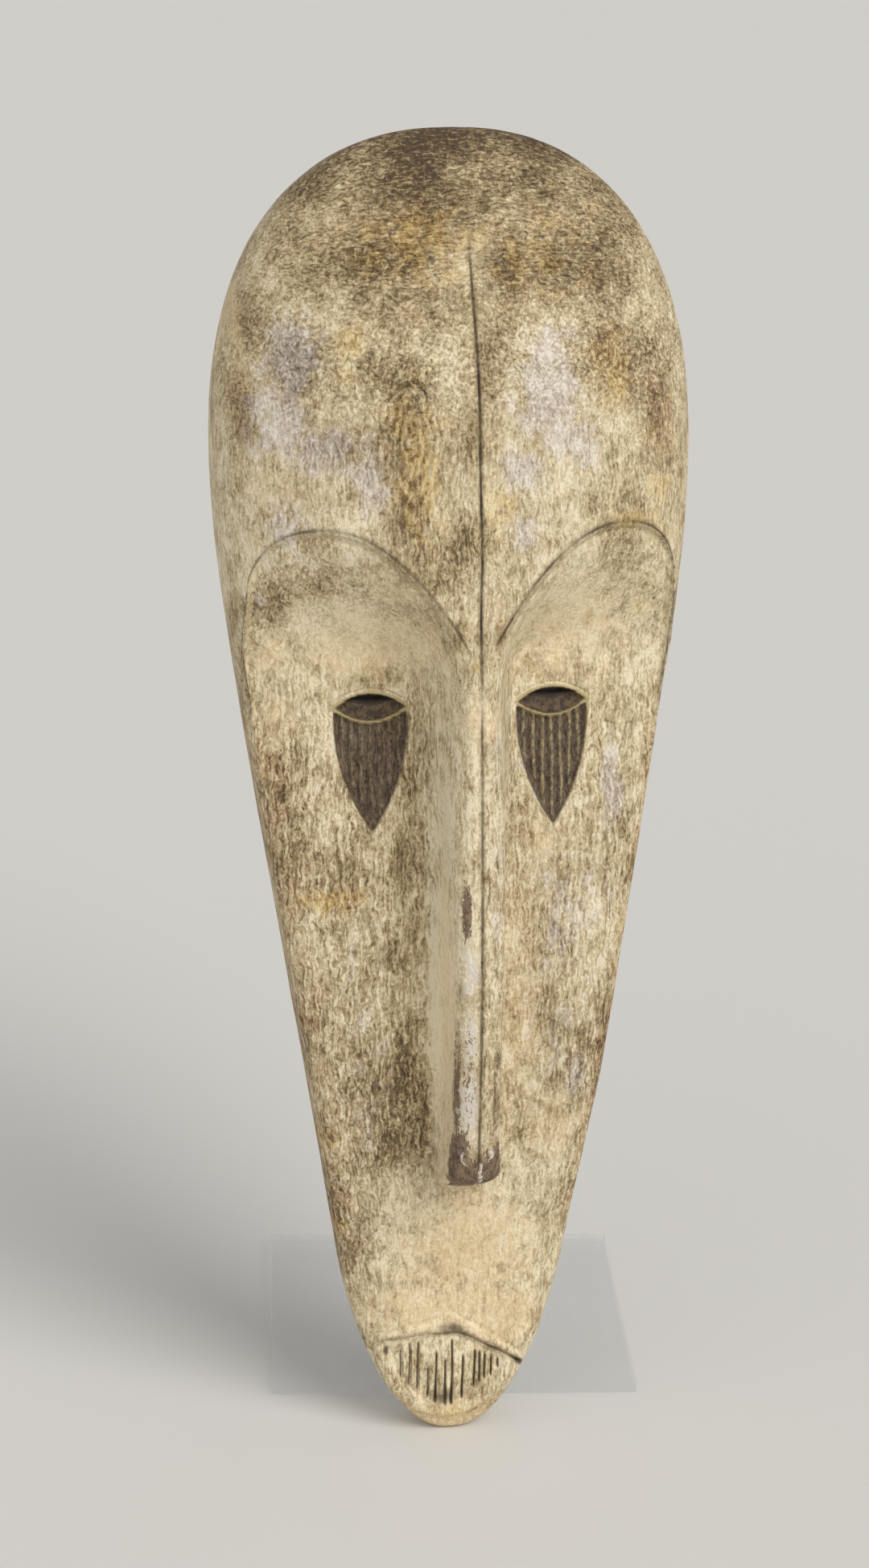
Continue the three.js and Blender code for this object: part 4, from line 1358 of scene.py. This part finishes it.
def strokes(tree, noise):
    up = height_up(tree)
    curled = noise["curled"]
    lower = curled + (noise["run_down"] - curled) * (up.rise(0.515, 0.455) * 0.75)
    return lower + (noise["run_across"] - lower) * (up.rise(0.495, 0.555) * 0.7)


def squiggles(noise):
    near = 1 - ((noise["curled"] - 0.5).size() * 26).least(1.0)
    return near * noise["middle"].rise(0.42, 0.60)


def broken(tree, name, noise, reach=2.2):
    return (read(tree, name) + (noise - 0.5) * reach).rise(0.18, 0.75)


def clay_tone(tree, noise):
    mottled, clean, brown_stain_and_shade = read(tree, "mottled"), read(tree, "clean"), read(tree, "brown_stain_and_shade")
    rough_part = mottled * (1 - clean * 0.8)
    low_down = height_up(tree).rise(0.44, 0.34)
    strengths = (
        (strokes(tree, noise), 1.45 + rough_part * 0.4 - clean * 0.8),
        (noise["fine"], 0.55 + rough_part * 0.2),
        (noise["middle"], 0.8 - clean * 0.35),
        (noise["wide"], 0.85 - clean * 0.6),
        (noise["specks"], 0.5),
        (noise["streaks"], low_down * (0.9 - clean * 0.5)),
    )
    # Painted light: the pale spots lighten the tone where the scoops and the nose's left wall lie in
    # shade.
    tone = 0.67 + read(tree, "pale") * 0.14
    for pattern, strength in strengths:
        tone = tone + (pattern - 0.5) * strength
    tone = tone - squiggles(noise) * (0.08 + rough_part * 0.16)
    rings = tree.maths("SINE", read(tree, "rings") * 30 + noise["middle"] * 12)
    tone = tone + rings * read(tree, "rings_shown") * 0.10
    # Stain and painted shade: these spots darken the tone, as stain, and as shade beside the nose,
    # under the left brow and on the dome.
    return tone - brown_stain_and_shade * (0.38 + (noise["middle"] - 0.5) * 0.9) - rough_part * 0.10


def clay_colour(tree, tone, noise):
    colours = CLAY
    for name in ("clean", "rust", "ochre", "grey"):
        share = broken(tree, name, noise["middle"]) * 0.8
        colours = [tree.blend(share, a, b) for a, b in zip(colours, TONES[name])]
    colour = colours[0]
    for step, following in enumerate(colours[1:]):
        colour = tree.blend(tone.rise(0.06 + 0.2 * step, 0.30 + 0.2 * step), colour, following)
    return colour


print("stain kinds", sorted(STAINS))

# %% Nose, eyes and cut lines over the clay


def worn_nose(tree, colour, noise):
    bared, chipped = read(tree, "bared"), read(tree, "chipped")
    ragged = (noise["fine"] - 0.5) * 1.6 + (noise["specks"] - 0.5) + (noise["run_down"] - 0.5) * 1.6
    bare = tree.blend((noise["fine"] + noise["specks"] * 0.5).rise(0.58, 0.92), BARE_DARK, BARE_BROWN)
    colour = tree.blend((bared + ragged).rise(0.40, 0.56) * bared.rise(0.04, 0.16), colour, bare)
    white = tree.blend(noise["specks"].rise(0.4, 0.6), GREY[3], CHIP_WHITE)
    flakes = (chipped - ragged * 1.5).rise(0.38, 0.50) * chipped.rise(0.05, 0.2)
    return tree.blend(flakes, colour, white)


def painted_eyes(tree, colour, noise):
    scratched = (noise["run_down"] + noise["specks"] * 0.5).rise(0.66, 0.84)
    tone = tree.blend(scratched, SHIELD_DARK, SHIELD_BROWN)
    colour = tree.blend(read(tree, "dark").rise(0.2, 0.8) * 0.95, colour, tone)
    lid = tree.blend(noise["fine"].rise(0.4, 0.6), LID_BROWN, SHIELD_DARK)
    colour = tree.blend(read(tree, "almond"), colour, lid)
    ridge = (read(tree, "ridge") + (noise["fine"] - 0.5) * 1.6).rise(0.2, 0.9)
    return tree.blend(ridge * 0.8, colour, RIM_OLIVE)


def thin_line(tree, name, width, noise):
    off = read(tree, name).size() + (noise["fine"] - 0.5) * width
    return 1 - off.rise(width * 0.35, width)


def cut_lines(tree, colour, noise):
    lines = {"centre": (0.8, SOOT), "brow": (0.9, CLAY[0]), "lip": (1.0, CLAY[0])}
    for name, (width, dark) in lines.items():
        shown = read(tree, name + "_shown")
        # Painted shade: a soft darker band along both sides of each cut line.
        soft = thin_line(tree, name, width * 3, noise) * shown
        colour = tree.blend(soft * 0.5, colour, CLAY[1])
        colour = tree.blend(thin_line(tree, name, width, noise) * shown, colour, dark)
    # Dirt darkens the knife cuts; the slit walls and the hollow under the apex of the lip get painted
    # shade.
    dirt_and_shade = read(tree, "dirt_and_shade")
    dirt_and_shade = (dirt_and_shade + (noise["fine"] - 0.5) * 0.8).rise(0.15, 0.8) * dirt_and_shade.rise(0.05, 0.2)
    return tree.blend(dirt_and_shade * 0.9, colour, tree.blend(read(tree, "dirt_and_shade").rise(0.5, 1.0), CLAY[0], SOOT))


def wood_finish():
    tree = fresh_tree(wood)
    noise = patterns(tree)
    tone = clay_tone(tree, noise)
    colour = clay_colour(tree, tone, noise)
    colour = worn_nose(tree, colour, noise)
    colour = painted_eyes(tree, colour, noise)
    colour = cut_lines(tree, colour, noise)
    inside = (read(tree, "inside") + (noise["fine"] - 0.5) * 0.6).rise(0.35, 0.65)
    raw = tree.blend(noise["streaks"].rise(0.35, 0.62), RAW_WOOD_DARK, RAW_WOOD)
    raw = tree.blend(noise["middle"].rise(0.52, 0.75) * 0.6, raw, RAW_WOOD_LIGHT)
    colour = tree.blend(inside, colour, raw)
    rough = 0.92 - tone.rise(0.1, 1.0) * 0.3 + (noise["middle"] - 0.5) * 0.4 - read(tree, "grey") * 0.1
    height = noise["curled"] * 1.2 + noise["specks"] * 0.6 + noise["streaks"] * (inside * 2.5)
    inputs = {"Height": height, "Strength": 0.6, "Distance": 0.0006}
    normal = tree.node("ShaderNodeBump", None, inputs)
    surface(tree, {"Base Color": colour, "Roughness": rough, "Normal": normal})
    print("wood finish uses", len(wood.node_tree.nodes), "nodes")


wood_finish()

# %% [markdown]
# ## Clear acrylic
# The stand is polished clear sheet. Full glass would cast a black shadow on the floor under
# it, so the sheet is part see-through by its alpha as well, and only fine scratches and dust
# show in its roughness.

# %% Acrylic finish
ACRYLIC_TINT, ACRYLIC_IOR, ACRYLIC_ALPHA = (0.93, 0.96, 0.97, 1), 1.49, 0.22


def acrylic_finish():
    tree = fresh_tree(acrylic)
    spot = tree.node("ShaderNodeTexCoord", None, None, "Object")
    dust = tree.noise(spot, 60.0, 4.0)
    scratch = tree.noise(tree.vector("MULTIPLY", spot, (40.0, 900.0, 40.0)), 1.0, 2.0)
    inputs = {
        "Base Color": ACRYLIC_TINT,
        "Roughness": 0.02 + dust.rise(0.5, 0.75) * 0.08 + scratch.rise(0.66, 0.74) * 0.15,
        "IOR": ACRYLIC_IOR,
        "Transmission Weight": 1.0,
        "Alpha": ACRYLIC_ALPHA,
    }
    surface(tree, inputs)
    print("acrylic finish uses", len(acrylic.node_tree.nodes), "nodes")


acrylic_finish()

# %% [markdown]
# ## Floor and light
# A plain pale floor and soft light from high on the right in front, as in the photograph,
# with a weak wide fill on the left. Area lamps would light the floor unevenly, so both are
# sun lamps with a wide angle: the light falls evenly and the shadows stay soft.

# %% Floor and lamps
FLOOR_RADIUS, FLOOR_GAP, FLOOR_SIDES = 40.0, 0.0003, 64
FLOOR_COLOUR, FLOOR_ROUGHNESS = (0.72, 0.71, 0.69, 1), 0.85
SKY_COLOUR, SKY_STRENGTH = (1.0, 0.99, 0.97, 1), 0.45
# Each lamp: where it stands, how wide it looks in degrees, its strength and its colour.
LAMPS = {
    "key_light": ((0.44, -0.72, 0.68), 36, 1.9, (1.0, 0.98, 0.95)),
    "fill_light": ((-0.9, -0.8, 0.4), 80, 0.45, (1.0, 0.99, 0.97)),
}


def make_floor():
    bm = bmesh.new()
    bmesh.ops.create_circle(bm, cap_ends=True, radius=FLOOR_RADIUS, segments=FLOOR_SIDES)
    bmesh.ops.translate(bm, verts=bm.verts, vec=(0, 0, -FLOOR_GAP))
    floor = placed("floor", mesh_from(bm, "floor"))
    pale = bpy.data.materials.new("pale_floor")
    surface(fresh_tree(pale), {"Base Color": FLOOR_COLOUR, "Roughness": FLOOR_ROUGHNESS})
    floor.data.materials.append(pale)
    return floor


def soft_light(name, spot, angle, strength, colour):
    light = bpy.data.lights.new(name, "SUN")
    light.angle, light.energy, light.color = math.radians(angle), strength, colour
    lamp = placed(name, light)
    lamp.location = spot
    lamp.rotation_euler = Vector(spot).to_track_quat("Z", "Y").to_euler()


floor = make_floor()
for name, settings in LAMPS.items():
    soft_light(name, *settings)
world = bpy.data.worlds.new("studio")
world.use_nodes = True
sky = world.node_tree.nodes["Background"].inputs
sky["Color"].default_value, sky["Strength"].default_value = SKY_COLOUR, SKY_STRENGTH
bpy.context.scene.world = world
bpy.context.scene.view_settings.view_transform = "Standard"
print("lamps and their strengths", {name: settings[2] for name, settings in LAMPS.items()})

# %% [markdown]
# ## Hand over to the frame
# Each piece rides on the one body and stands for its solid, which is hidden.

for piece, node, finish in (
    (mask, "mask", "painted_wood"),
    (foot_plate, "foot_plate", "clear_acrylic"),
    (upright, "upright", "clear_acrylic"),
):
    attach(piece, "root")
    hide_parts(node)
